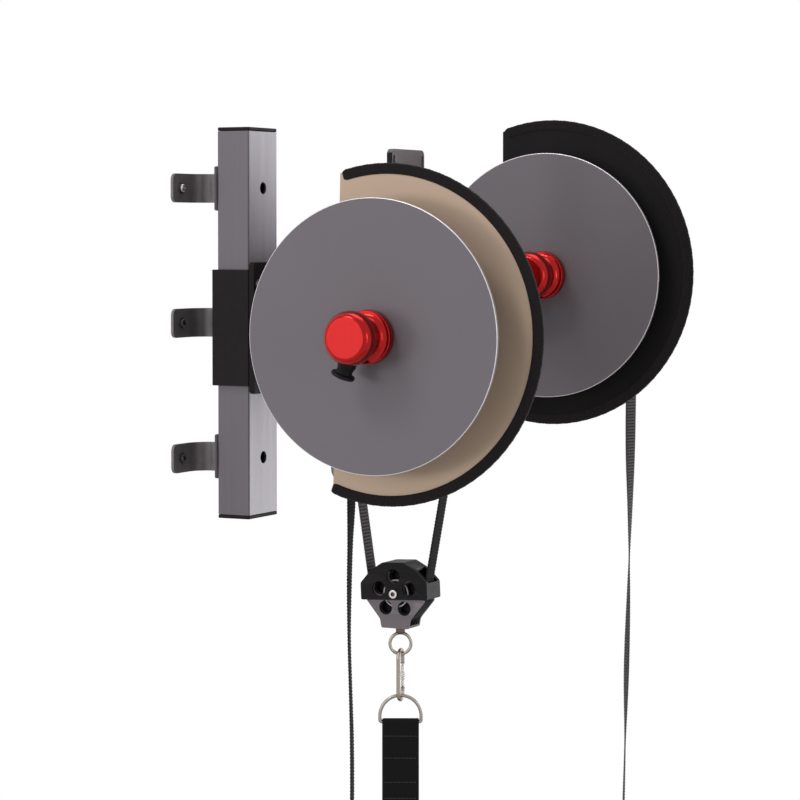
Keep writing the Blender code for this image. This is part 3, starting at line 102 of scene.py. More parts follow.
# The gap between fitted pieces, then the lock bar, the sheave and the strap on them
FIT = 0.0003
BAR_X = 0.2396
BAR_Z = -0.2060
BAR: Place = (BAR_X, 0.0, BAR_Z)
BAR_STRAP = 0.00555
SHEAVE_X = 0.3091
SHEAVE_Z = -0.3628
SHEAVE: Place = (SHEAVE_X, 0.0, SHEAVE_Z)
STRAP_ROW = 0.002


def linear(red: int, green: int, blue: int) -> Place:
    """A screen colour, each part 0 to 255, in linear scene values."""
    shares = (red / 255, green / 255, blue / 255)
    return tuple(x / 12.92 if x <= 0.04045 else ((x + 0.055) / 1.055) ** 2.4 for x in shares)


def arc(x: float, y: float, radius: float, start: float, end: float, steps: int) -> list[Flat]:
    """Points on an arc about (x, y), between two angles in degrees."""
    turns = [radians(start + (end - start) * step / steps) for step in range(steps + 1)]
    return [(x + radius * cos(turn), y + radius * sin(turn)) for turn in turns]


def circle(radius: float, sides: int, x: float = 0.0, y: float = 0.0) -> list[Flat]:
    """Points on a whole circle about (x, y)."""
    return arc(x, y, radius, 0, 360, sides)[:-1]


def rounded_rectangle(width: float, height: float, corner: float, steps: int = 6) -> list[Flat]:
    """A rectangle about the origin with round corners."""
    middles = enumerate([(a * (width / 2 - corner), b * (height / 2 - corner)) for a, b in CORNERS])
    return [point for n, (x, y) in middles for point in arc(x, y, corner, 90 * n, 90 * n + 90, steps)]


def filleted(points: Line, radius: float, steps: int = 6) -> list[Flat]:
    """Round the inner corners of an open line.

    Args:
        points: The line's corners.
        radius: Radius of each bend.
        steps: Steps in each bend.

    Returns:
        The line with round bends.
    """
    result = [points[0]]
    for before, here, after in zip(points, points[1:], points[2:]):
        corner = Vector(here)
        back = Vector(before) - corner
        ahead = Vector(after) - corner
        reach = min(radius, 0.45 * back.length, 0.45 * ahead.length)
        start = corner + back.normalized() * reach
        end = corner + ahead.normalized() * reach
        for step in range(steps + 1):
            share = step / steps
            point = start * (1 - share) ** 2 + corner * 2 * share * (1 - share) + end * share**2
            result.append(tuple(point))
    result.append(points[-1])
    return result


def sideways(points: Line, distance: float, closed: bool) -> list[Flat]:
    """Move a line to its left by a distance.

    Args:
        points: The line's points.
        distance: How far to move it.
        closed: Whether the last point joins the first.

    Returns:
        The moved points.
    """
    spots = [Vector(point) for point in points]
    ways = [(after - here).normalized() for here, after in zip(spots, spots[1:] + spots[:1])]
    moved = []
    for index, here in enumerate(points):
        into = ways[index - 1] if closed or index else ways[index]
        out = ways[index] if closed or index < len(points) - 1 else into
        first = Vector((-into.y, into.x))
        second = Vector((-out.y, out.x))
        side = (first + second) / max(1 + first.dot(second), 0.4)
        moved.append((here[0] + side.x * distance, here[1] + side.y * distance))
    return moved


def filleted_loop(points: Line, radius: float, steps: int) -> list[Flat]:
    """The closed line through some points, with every corner rounded."""
    return filleted([points[-1], *points, points[0]], radius, steps)[1:-1]


def strip(points: Line, thickness: float) -> list[Flat]:
    """The closed outline of a strip that follows an open line."""
    return sideways(points, thickness / 2, False) + sideways(points, -thickness / 2, False)[::-1]


def area_of(points: Line) -> float:
    """Signed area of an outline, above zero when it runs anticlockwise."""
    pairs = zip(points, [*points[1:], points[0]])
    return sum(a[0] * b[1] - b[0] * a[1] for a, b in pairs) / 2


@dataclass
class Shape:
    """Points and faces of a piece while it is made, with each point's place on its cloth."""

    points: list[Vector] = field(default_factory=list)
    faces: list[tuple[int, ...]] = field(default_factory=list)
    cloth: list[Place] = field(default_factory=list)

    def __add__(self, other: "Shape") -> "Shape":
        """Both shapes side by side in one."""
        start = len(self.points)
        faces = self.faces + [tuple(start + index for index in face) for face in other.faces]
        return Shape(self.points + other.points, faces, self.cloth + other.cloth)

    def placed(self, place: Place = (0, 0, 0), turn: Turn = LIE_FLAT) -> "Shape":
        """The shape turned about X, Y and Z, in radians, and then moved."""
        matrix = Matrix.Translation(place) @ Euler(turn).to_matrix().to_4x4()
        return Shape([matrix @ point for point in self.points], self.faces, self.cloth)

    def object(self, name: str) -> Piece:
        """Make the shape an object with outward faces and smooth shading.

        Args:
            name: The object's name.

        Returns:
            The linked object.
        """
        mesh = bpy.data.meshes.new(name)
        mesh.from_pydata([tuple(point) for point in self.points], [], self.faces)
        if self.cloth and len(self.cloth) == len(self.points):
            places = mesh.attributes.new("cloth", "FLOAT_VECTOR", "POINT")
            places.data.foreach_set("vector", [value for place in self.cloth for value in place])
        cage = bmesh.new()
        cage.from_mesh(mesh)
        bmesh.ops.recalc_face_normals(cage, faces=cage.faces)
        cage.to_mesh(mesh)
        cage.free()
        mesh.shade_smooth()
        made = bpy.data.objects.new(name, mesh)
        bpy.context.scene.collection.objects.link(made)
        return made

    def combined(self, other: "Shape", operation: str = "DIFFERENCE") -> "Shape":
        """Cut, join or intersect with another shape.

        Args:
            other: The second solid.
            operation: DIFFERENCE, UNION or INTERSECT.

        Returns:
            The new shape.
        """
        first = self.object("first solid")
        second = other.object("second solid")
        modifier = first.modifiers.new("Combine", "BOOLEAN")
        modifier.operation = operation
        modifier.object = second
        graph = bpy.context.evaluated_depsgraph_get()
        graph.update()
        mesh = bpy.data.meshes.new_from_object(first.evaluated_get(graph))
        points = [vertex.co.copy() for vertex in mesh.vertices]
        faces = [tuple(face.vertices) for face in mesh.polygons]
        for scratch in (first, second):
            bpy.data.objects.remove(scratch, do_unlink=True)
        bpy.data.meshes.remove(mesh)
        return Shape(points, faces)


def plate(outlines: Sequence[Line], thickness: float, edge: float = 0.0005, steps: int = 3) -> Shape:
    """A flat plate with holes and rounded edges.

    Args:
        outlines: The outer outline, then each hole.
        thickness: Full thickness.
        edge: Radius of its edges.
        steps: Steps in each rounded edge.

    Returns:
        The plate about the plane Z = 0.
    """
    lines = []
    for number, line in enumerate(outlines):
        wanted = 1 if number == 0 else -1
        lines.append(list(line) if area_of(line) * wanted > 0 else list(line)[::-1])
    rows = []
    for step in range(steps + 1 if edge else 1):
        turn = pi / 2 * step / steps if edge else pi / 2
        rows.append((edge * (1 - sin(turn)), thickness / 2 - edge * (1 - cos(turn))))
    rows += [(inset, -height) for inset, height in rows[::-1]]
    shape = Shape()
    starts = []
    for inset, height in rows:
        starts.append(len(shape.points))
        for line in lines:
            shape.points += [Vector((x, y, height)) for x, y in sideways(line, inset, True)]
    cap = [[Vector((x, y, 0.0)) for x, y in sideways(line, edge, True)] for line in lines]
    triangles = geometry.tessellate_polygon(cap)
    shape.faces += [tuple(triangle) for triangle in triangles]
    shape.faces += [tuple(starts[-1] + index for index in triangle[::-1]) for triangle in triangles]
    for upper, lower in zip(starts, starts[1:]):
        offset = 0
        for line in lines:
            count = len(line)
            for index in range(count):
                here = offset + index
                after = offset + (index + 1) % count
                shape.faces.append((upper + here, upper + after, lower + after, lower + here))
            offset += count
    return shape


def turned(profile: Line, steps: int = 96) -> Shape:
    """A turned solid from points of radius and height.

    Args:
        profile: The points, from one end of its side to the other.
        steps: Steps round the axis.

    Returns:
        The solid about local Z.
    """
    shape = Shape()
    rings = []
    for radius, height in profile:
        start = len(shape.points)
        if radius < 1e-7:
            shape.points.append(Vector((0.0, 0.0, height)))
            rings.append([start] * steps)
            continue
        shape.points += [Vector((x, y, height)) for x, y in circle(radius, steps)]
        rings.append([start + index for index in range(steps)])
    pairs = list(zip(rings, rings[1:]))
    if profile[0][0] > 1e-7:
        pairs.append((rings[-1], rings[0]))
    for upper, lower in pairs:
        for index in range(steps):
            after = (index + 1) % steps
            face = tuple(dict.fromkeys((upper[index], upper[after], lower[after], lower[index])))
            if len(face) > 2:
                shape.faces.append(face)
    return shape


def eased_profile(profile: Line, radius: float, steps: int = 4) -> list[Flat]:
    """A profile of radius and height with every corner rounded a little."""
    on_axis = profile[0][0] < 1e-7
    return filleted(profile, radius, steps) if on_axis else filleted_loop(profile, radius, steps)


def swept(
    path: Path,
    section: Callable[[int], list[Flat]],
    side: Callable[[int], Vector] | None = None,
    closed: bool = False,
) -> Shape:
    """A section carried along a path.

    Args:
        path: Middle line of the piece.
        section: The outline at each step, as sideways and outward distances.
        side: The sideways direction at each step, or none to carry it along without twist.
        closed: Whether the path joins up with itself.

    Returns:
        The swept solid, with its distance along the path kept for its cloth.
    """
    count = len(path)
    shape = Shape()
    along = 0.0
    across = None
    rings = []
    for index, here in enumerate(path):
        before = path[index - 1] if closed or index else here
        after = path[(index + 1) % count] if closed or index < count - 1 else here
        tangent = (after - before).normalized()
        if side is not None:
            across = side(index)
        elif across is None:
            across = tangent.orthogonal()
        across = (across - tangent * across.dot(tangent)).normalized()
        outward = tangent.cross(across)
        along += (here - path[index - 1]).length if index else 0.0
        start = len(shape.points)
        outline = section(index)
        shape.points += [here + across * a + outward * b for a, b in outline]
        shape.cloth += [(a, along, b) for a, b in outline]
        rings.append(range(start, start + len(outline)))
    pairs = list(zip(rings, rings[1:]))
    if closed:
        pairs.append((rings[-1], rings[0]))
    for first, second in pairs:
        for index in range(len(first)):
            after = (index + 1) % len(first)
            shape.faces.append((first[index], first[after], second[after], second[index]))
    if not closed:
        shape.faces += [tuple(rings[0])[::-1], tuple(rings[-1])]
    return shape


def wire(points: Path, diameter: float, closed: bool = False, sides: int = 20) -> Shape:
    """A round wire with softly rounded ends.

    Args:
        points: Its middle line.
        diameter: Its diameter.
        closed: Whether it is a ring.
        sides: Points in its section.

    Returns:
        The wire.
    """
    ring = circle(diameter / 2, sides)
    path = list(points)
    if closed:
        return swept(path, lambda index: ring, None, True)
    scales = [1.0] * len(path)
    turns = [pi / 2 * step / 5 for step in range(5)]
    for _ in ("start", "end"):
        inward = (path[1] - path[0]).normalized() * diameter / 2
        rounding = [path[0] + inward * (1 - cos(turn)) for turn in turns]
        path = (rounding + [path[0] + inward] + path[1:])[::-1]
        scales = ([max(sin(turn), 0.05) for turn in turns] + scales)[::-1]
    return swept(path, lambda index: [(a * scales[index], b * scales[index]) for a, b in ring])


def lengths_along(points: Path) -> list[float]:
    """The distance of each point along a line."""
    spans = ((after - before).length for before, after in zip(points, points[1:]))
    return list(accumulate(spans, initial=0.0))


def resampled(points: Path, step: float) -> list[Vector]:
    """Points at even distances along a line.

    Args:
        points: The line.
        step: Wanted distance between points.

    Returns:
        The even points, with both ends kept.
    """
    lengths = lengths_along(points)
    count = max(2, round(lengths[-1] / step))
    result = []
    segment = 0
    for number in range(count + 1):
        wanted = lengths[-1] * number / count
        while segment < len(points) - 2 and lengths[segment + 1] < wanted:
            segment += 1
        span = max(lengths[segment + 1] - lengths[segment], 1e-9)
        share = (wanted - lengths[segment]) / span
        result.append(points[segment].lerp(points[segment + 1], share))
    return result


class Graph:
    """A shader node tree while it is built."""

    def __init__(self, tree: bpy.types.NodeTree) -> None:
        """Keep the tree to work on."""
        self.tree = tree

    def node(self, kind: str, inputs: dict | None = None, **settings: object) -> bpy.types.Node:
        """Add a node.

        Args:
            kind: Blender's name for the node type.
            inputs: Values or sockets for its inputs, by name or number.
            settings: Its other settings.

        Returns:
            The new node.
        """
        made = self.tree.nodes.new(kind)
        for name, value in settings.items():
            setattr(made, name, value)
        for name, value in (inputs or {}).items():
            if isinstance(value, Socket):
                self.tree.links.new(value, made.inputs[name])
            else:
                made.inputs[name].default_value = value
        return made

    def maths(self, operation: str, first: object, second: object = 0.0) -> Socket:
        """The result of a Math node for two values or sockets."""
        return self.node("ShaderNodeMath", {0: first, 1: second}, operation=operation).outputs[0]

    def times(self, first: object, second: object) -> Socket:
        """The product of two values or sockets."""
        return self.maths("MULTIPLY", first, second)

    def weighted(self, first: Socket, second: Socket, share: float) -> Socket:
        """The first value by its share and the second by the rest."""
        return self.maths("ADD", self.times(first, share), self.times(second, 1.0 - share))

    def noise(self, vector: Socket, scale: object, detail: float) -> Socket:
        """Noise from 0 to 1, read at a vector."""
        inputs = {"Vector": vector, "Scale": scale, "Detail": detail}
        return self.node("ShaderNodeTexNoise", inputs).outputs["Fac"]

    def tinted(self, colour: Socket, factor: Socket) -> Socket:
        """The colour made lighter or darker by a factor."""
        inputs = {0: colour, "Scale": factor}
        return self.node("ShaderNodeVectorMath", inputs, operation="SCALE").outputs["Vector"]

    def around_one(self, noise: Socket, amount: object) -> Socket:
        """Noise from 0 to 1 turned into a factor that swings around one."""
        centred = self.maths("SUBTRACT", noise, 0.5)
        return self.maths("ADD", self.times(centred, amount), 1.0)


class Pattern(Enum):
    """The shared surface effects, by the name of their node group."""

    GRAIN = "Fine grain"
    BRUSHED = "Brushed streaks"
    TURNED = "Turned rings"
    WEBBING = "Woven webbing"
    WEAR = "Edge wear"


SOCKET_KINDS = {"Colour": "NodeSocketColor", "Middle": "NodeSocketVector", "Stretch": "NodeSocketVector"}
SURFACE_INPUTS = ("Colour", "Roughness", "Variation", "Roughness variation", "Scale")
SURFACE_OUTPUTS = ("Colour", "Roughness", "Height")


class Effect(Graph):
    """One shared node group while it is built."""

    def __init__(
        self, pattern: Pattern, inputs: Iterable[str], outputs: Iterable[str] = SURFACE_OUTPUTS
    ) -> None:
        """Start the group with named sockets.

        Args:
            pattern: Which effect it is.
            inputs: Names of its inputs.
            outputs: Names of its outputs.
        """
        super().__init__(bpy.data.node_groups.new(pattern.value, "ShaderNodeTree"))
        for direction, names in (("INPUT", inputs), ("OUTPUT", outputs)):
            for name in names:
                kind = SOCKET_KINDS.get(name, "NodeSocketFloat")
                self.tree.interface.new_socket(name, in_out=direction, socket_type=kind)
        self.given = self.node("NodeGroupInput").outputs

    def place(self) -> Socket:
        """The shaded point's place in the part's frame."""
        return self.node("ShaderNodeTexCoord").outputs["Object"]

    def finish(self, mixed: Socket, broad: Socket, height: Socket, factor: Socket | None = None) -> None:
        """Connect the three results that every surface effect gives.

        Args:
            mixed: The noise that varies the colour.
            broad: The noise that varies the roughness.
            height: The height.
            factor: What the colour is multiplied by after that, if anything.
        """
        given = self.given
        colour = self.tinted(given["Colour"], self.around_one(mixed, given["Variation"]))
        if factor is not None:
            colour = self.tinted(colour, factor)
        roughness = self.times(given["Roughness"], self.around_one(broad, given["Roughness variation"]))
        self.node("NodeGroupOutput", {"Colour": colour, "Roughness": roughness, "Height": height})


def build_grain() -> None:
    """Make the group of fine even grain with faint clouds, for paint, powder coat and plastic."""
    graph = Effect(Pattern.GRAIN, SURFACE_INPUTS)
    place = graph.place()
    fine = graph.noise(place, graph.given["Scale"], 3.0)
    clouds = graph.noise(place, graph.times(graph.given["Scale"], 0.02), 4.0)
    graph.finish(graph.weighted(fine, clouds, 0.7), clouds, fine)


def build_brushed() -> None:
    """Make the group of long fine streaks, for brushed and extruded aluminium."""
    graph = Effect(Pattern.BRUSHED, (*SURFACE_INPUTS, "Stretch"))
    inputs = {0: graph.place(), 1: graph.given["Stretch"]}
    drawn = graph.node("ShaderNodeVectorMath", inputs, operation="MULTIPLY").outputs["Vector"]
    fine = graph.noise(drawn, graph.given["Scale"], 4.0)
    broad = graph.noise(drawn, graph.times(graph.given["Scale"], 0.12), 2.0)
    graph.finish(graph.weighted(fine, broad, 0.5), broad, fine)


def build_turned() -> None:
    """Make the group of fine rings about an axis along Y, for lathe-turned metal."""
    graph = Effect(Pattern.TURNED, (*SURFACE_INPUTS, "Middle"))
    place = graph.place()
    offset = graph.node("ShaderNodeVectorMath", {0: place, 1: graph.given["Middle"]}, operation="SUBTRACT")
    parts = graph.node("ShaderNodeSeparateXYZ", {0: offset.outputs["Vector"]}).outputs
    flat = graph.node("ShaderNodeCombineXYZ", {0: parts["X"], 1: 0.0, 2: parts["Z"]}).outputs[0]
    radius = graph.node("ShaderNodeVectorMath", {0: flat}, operation="LENGTH").outputs["Value"]
    rings = graph.node("ShaderNodeCombineXYZ", {0: radius, 1: parts["Y"], 2: 0.0}).outputs[0]
    fine = graph.noise(rings, graph.given["Scale"], 3.0)
    clouds = graph.noise(place, graph.times(graph.given["Scale"], 0.01), 2.0)
    graph.finish(graph.weighted(fine, clouds, 0.6), clouds, fine)


def build_webbing() -> None:
    """Make the group of woven yarns, read from each point's own place on its strap, with painted shade in
    the rib grooves and a painted highlight on the rib crests.
    """
    graph = Effect(Pattern.WEBBING, (*SURFACE_INPUTS, "Painted rib shade", "Rib pitch"))
    given = graph.given
    cloth = graph.node("ShaderNodeAttribute", attribute_name="cloth").outputs["Vector"]
    parts = graph.node("ShaderNodeSeparateXYZ", {0: cloth}).outputs
    turns = graph.times(given["Scale"], 2 * pi)
    across = graph.maths("SINE", graph.times(parts["X"], turns))
    along = graph.maths("SINE", graph.times(parts["Y"], turns))
    yarns = graph.maths("ADD", graph.times(graph.times(across, along), 0.5), 0.5)
    fuzz = graph.noise(cloth, graph.times(given["Scale"], 3.0), 3.0)
    broad = graph.noise(cloth, 40.0, 2.0)
    height = graph.weighted(yarns, fuzz, 0.7)
    # Painted shade and highlight: the colour darkens in the rib grooves and lightens on the rib crests
    phase = graph.times(graph.maths("DIVIDE", parts["Y"], given["Rib pitch"]), 2 * pi)
    painted_rib_shade = graph.times(graph.maths("COSINE", phase), given["Painted rib shade"])
    graph.finish(graph.weighted(height, broad, 0.7), broad, height, graph.maths("ADD", painted_rib_shade, 1.0))


def build_wear() -> None:
    """Make the group that brightens and smooths a surface along its worn edges."""
    graph = Effect(Pattern.WEAR, ("Colour", "Roughness", "Amount"), ("Colour", "Roughness"))
    pointed = graph.node("ShaderNodeNewGeometry").outputs["Pointiness"]
    limits = {"Value": pointed, "From Min": 0.52, "From Max": 0.60, "To Min": 0.0, "To Max": 1.0}
    edges = graph.node("ShaderNodeMapRange", limits).outputs["Result"]
    patches = graph.noise(graph.place(), 90.0, 4.0)
    mask = graph.times(graph.times(edges, patches), graph.given["Amount"])
    colour = graph.tinted(graph.given["Colour"], graph.maths("ADD", mask, 1.0))
    smoother = graph.maths("SUBTRACT", 1.0, graph.times(mask, 0.3))
    roughness = graph.times(graph.given["Roughness"], smoother)
    graph.node("NodeGroupOutput", {"Colour": colour, "Roughness": roughness})


@dataclass(frozen=True)
class Finish:
    """One surface finish, with its colour as it shows on screen."""

    name: str
    slot: str
    colour: tuple[int, int, int]
    roughness: float
    metallic: float = 0.0
    scale: float = 900.0
    variation: float = 0.2
    roughness_variation: float = 0.3
    bump: float = 0.00004
    bump_strength: float = 0.4
    pattern: Pattern = Pattern.GRAIN
    coat: float = 0.0
    sheen: float = 0.0
    specular: float = 0.5
    wear: float = 0.0
    stretch: Place = (1.0, 1.0, 1.0)
    middle: Place = (0.0, 0.0, 0.0)
    # Strength of the painted shade in the rib grooves and the painted highlight on the rib crests
    ribs: float = 0.0
    rib_pitch: float = 0.0046

    def material(self) -> bpy.types.Material:
        """Build the finish as a material, or give back the one that is there.

        Returns:
            The material.
        """
        known = bpy.data.materials.get(self.name)
        if known is not None:
            return known
        material = bpy.data.materials.new(self.name)
        material.use_nodes = True
        graph = Graph(material.node_tree)
        shader = material.node_tree.nodes["Principled BSDF"]
        values = {
            "Colour": (*linear(*self.colour), 1.0),
            "Roughness": self.roughness,
            "Variation": self.variation,
            "Roughness variation": self.roughness_variation,
            "Scale": self.scale,
        }
        if self.pattern is Pattern.BRUSHED:
            values["Stretch"] = self.stretch
        if self.pattern is Pattern.TURNED:
            values["Middle"] = self.middle
        if self.pattern is Pattern.WEBBING:
            values |= {"Painted rib shade": self.ribs, "Rib pitch": self.rib_pitch}
        groups = bpy.data.node_groups
        surface = graph.node("ShaderNodeGroup", values, node_tree=groups[self.pattern.value]).outputs
        shown = surface
        if self.wear:
            inputs = {"Colour": surface["Colour"], "Roughness": surface["Roughness"], "Amount": self.wear}
            shown = graph.node("ShaderNodeGroup", inputs, node_tree=groups[Pattern.WEAR.value]).outputs
        heights = {"Height": surface["Height"], "Distance": self.bump, "Strength": self.bump_strength}
        bump = graph.node("ShaderNodeBump", heights)
        graph.tree.links.new(shown["Colour"], shader.inputs["Base Color"])
        graph.tree.links.new(shown["Roughness"], shader.inputs["Roughness"])
        graph.tree.links.new(bump.outputs["Normal"], shader.inputs["Normal"])
        shader.inputs["Metallic"].default_value = self.metallic
        shader.inputs["Coat Weight"].default_value = self.coat
        shader.inputs["Sheen Weight"].default_value = self.sheen
        shader.inputs["Specular IOR Level"].default_value = self.specular
        return material


def install(made: Piece, finish: Finish, nodes: Sequence[str], body: str | None = None) -> Piece:
    """Dress a piece, and let it ride on its body in place of its nodes.

    Args:
        made: The piece.
        finish: Its finish.
        nodes: The CAD nodes it stands for.
        body: Its body, or none to take the first node's body.

    Returns:
        The same piece.
    """
    made.data.materials.clear()
    made.data.materials.append(finish.material())
    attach(made, body or frame["nodes"][nodes[0]]["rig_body"])
    if nodes:
        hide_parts(*nodes)
    LOG.info("%s: %d points, %s", made.name, len(made.data.vertices), finish.name)
    return made


def rigid(
    name: str,
    shape: Shape,
    finish: Finish,
    nodes: Sequence[str] = (),
    body: str | None = None,
    angle: float = 32.0,
) -> Piece:
    """Make a hard piece with clean shading.

    Args:
        name: The piece's name.
        shape: Its shape in the part's frame.
        finish: Its finish.
        nodes: The CAD nodes it stands for.
        body: Its body, when it stands for no node.
        angle: Edges sharper than this, in degrees, stay sharp.

    Returns:
        The piece.
    """
    made = shape.object(name)
    made.data.set_sharp_from_angle(angle=radians(angle))
    weighted = made.modifiers.new("Weighted normals", "WEIGHTED_NORMAL")
    weighted.keep_sharp = True
    return install(made, finish, nodes, body)


# Finishes, with colours as the photograph shows them
POST_METAL = Finish(
    "Brushed post", "post", (91, 87, 92), 0.4, 0.4, 900.0, 0.5, 0.4, 0.00002, 0.25,
    pattern=Pattern.BRUSHED, stretch=(1.0, 1.0, 0.012),
)
# A lighter copy of the post metal for the post's front face: painted light where the lamps catch that face
POST_FRONT_PAINTED_LIGHT = replace(
    POST_METAL, name="Post front with painted light", colour=(170, 166, 174), roughness=0.45, metallic=0.2,
    variation=0.4,
)
CAP_PLASTIC = Finish(
    "Cap plastic", "black_plastic", (28, 25, 27), 0.55, scale=1400.0, specular=0.1, wear=0.4,
)
SLEEVE_METAL = Finish(
    "Black anodised sleeve", "black_metal", (26, 23, 25), 0.5, 0.0, 1600.0, 0.25, 0.3, wear=0.5,
    specular=0.08,
)
BRACKET_METAL = Finish(
    "Dark bracket", "bracket", (96, 92, 93), 0.5, 0.3, 1100.0, 0.2, 0.35, 0.00003, 0.35, wear=0.5,
)
BRIGHT_SCREW = Finish("Bright screw", "fastener", (196, 192, 188), 0.24, 0.95, 1500.0, 0.15)
DARK_SCREW = Finish("Dark screw", "fastener", (76, 72, 73), 0.34, 0.8, 1500.0, 0.2, wear=0.6)
FRAME_PAINT = Finish(
    "Grey frame paint", "frame", (92, 84, 86), 0.5, 0.1, 1200.0, 0.18, 0.3, 0.00004, 0.5, wear=0.35,
)
SAND_SHEET = Finish(
    "Sand guard", "sand_guard", (194, 170, 148), 0.6, 0.0, 1400.0, 0.08, 0.2, 0.00003, 0.3,
    specular=0.35,
)
BLACK_SHEET = Finish(
    "Black guard", "black_guard", (24, 22, 24), 0.6, 0.0, 1400.0, 0.22, 0.3, 0.00004, 0.4, specular=0.1,
)
TRIM_FELT = Finish(
    "Soft edge trim", "trim", (31, 28, 29), 0.95, 0.0, 420.0, 1.5, 0.1, 0.0009, 1.0, sheen=0.12,
    specular=0.1,
)
DISC_PAINT = Finish(
    "Grey disc", "disc", (110, 105, 110), 0.62, 0.1, 1500.0, 0.14, 0.2, 0.00003, 0.5, specular=0.3,
    wear=1.2,
)
RIM_METAL = Finish("Bare rim", "disc", (206, 200, 204), 0.3, 0.8, 1500.0, 0.12, 0.3, 0.00001, 0.2)
SHAFT_STEEL = Finish(
    "Turned shaft", "steel", (140, 134, 130), 0.3, 0.95, 900.0, 0.14, 0.4, 0.00001, 0.2, wear=0.3,
)
SHEAVE_PLASTIC = Finish(
    "Sheave plastic", "black_plastic", (20, 18, 20), 0.6, 0.0, 1200.0, 0.25, 0.3, specular=0.1, wear=0.6,
)
BLOCK_METAL = Finish(
    "Grey block plate", "block_plate", (98, 92, 97), 0.5, 0.3, 1500.0, 0.14, 0.3, specular=0.3, wear=0.8,
)
BLOCK_PLASTIC = Finish(
    "Block cover", "black_plastic", (20, 18, 20), 0.5, 0.0, 1600.0, 0.3, 0.3, 0.00004, 0.5,
    specular=0.1, wear=1.2,
)
STEEL = Finish(
    "Polished steel", "steel", (154, 146, 138), 0.22, 1.0, 700.0, 0.16, 0.5, 0.00001, 0.2, wear=0.2,
)
COLLAR_METAL = Finish("Dull collar", "steel", (96, 82, 78), 0.4, 0.8, 900.0, 0.3)
HUB_METAL = Finish("Grey hub ring", "steel", (150, 146, 146), 0.5, 0.2, 900.0, 0.2)
STRAP_CLOTH = Finish(
    "Strap webbing", "strap", (82, 78, 80), 0.85, 0.0, 900.0, 0.5, 0.1, 0.00012, 0.8,
    pattern=Pattern.WEBBING, sheen=0.05, specular=0.1, ribs=0.65,
)
# The same webbing made darker, as painted shade on the hanging tail, the right run and the two bends
SHADED_CLOTH = replace(STRAP_CLOTH, name="Strap webbing with painted shade", colour=(31, 29, 29), ribs=0.3)
HANDLE_CLOTH = Finish(
    "Handle webbing", "webbing", (20, 19, 20), 0.85, 0.0, 700.0, 0.6, 0.1, 0.0002, 0.9,
    pattern=Pattern.WEBBING, sheen=0.05, specular=0.1,
)
STITCHES = Finish("Black thread", "webbing", (44, 43, 44), 0.7, 0.0, 2500.0, 0.4, 0.2, sheen=0.2)
PAD_FOAM = Finish(
    "Foam pad", "pad", (30, 30, 31), 0.9, 0.0, 1200.0, 0.5, 0.2, 0.0003, 0.8, sheen=0.2, specular=0.3,
)
RED_METAL = Finish(
    "Red knob", "red_knob", (160, 14, 14), 0.22, 0.8, 3000.0, 0.16, 0.3, 0.00002, 0.25,
    pattern=Pattern.TURNED, coat=0.24, specular=0.1,
)


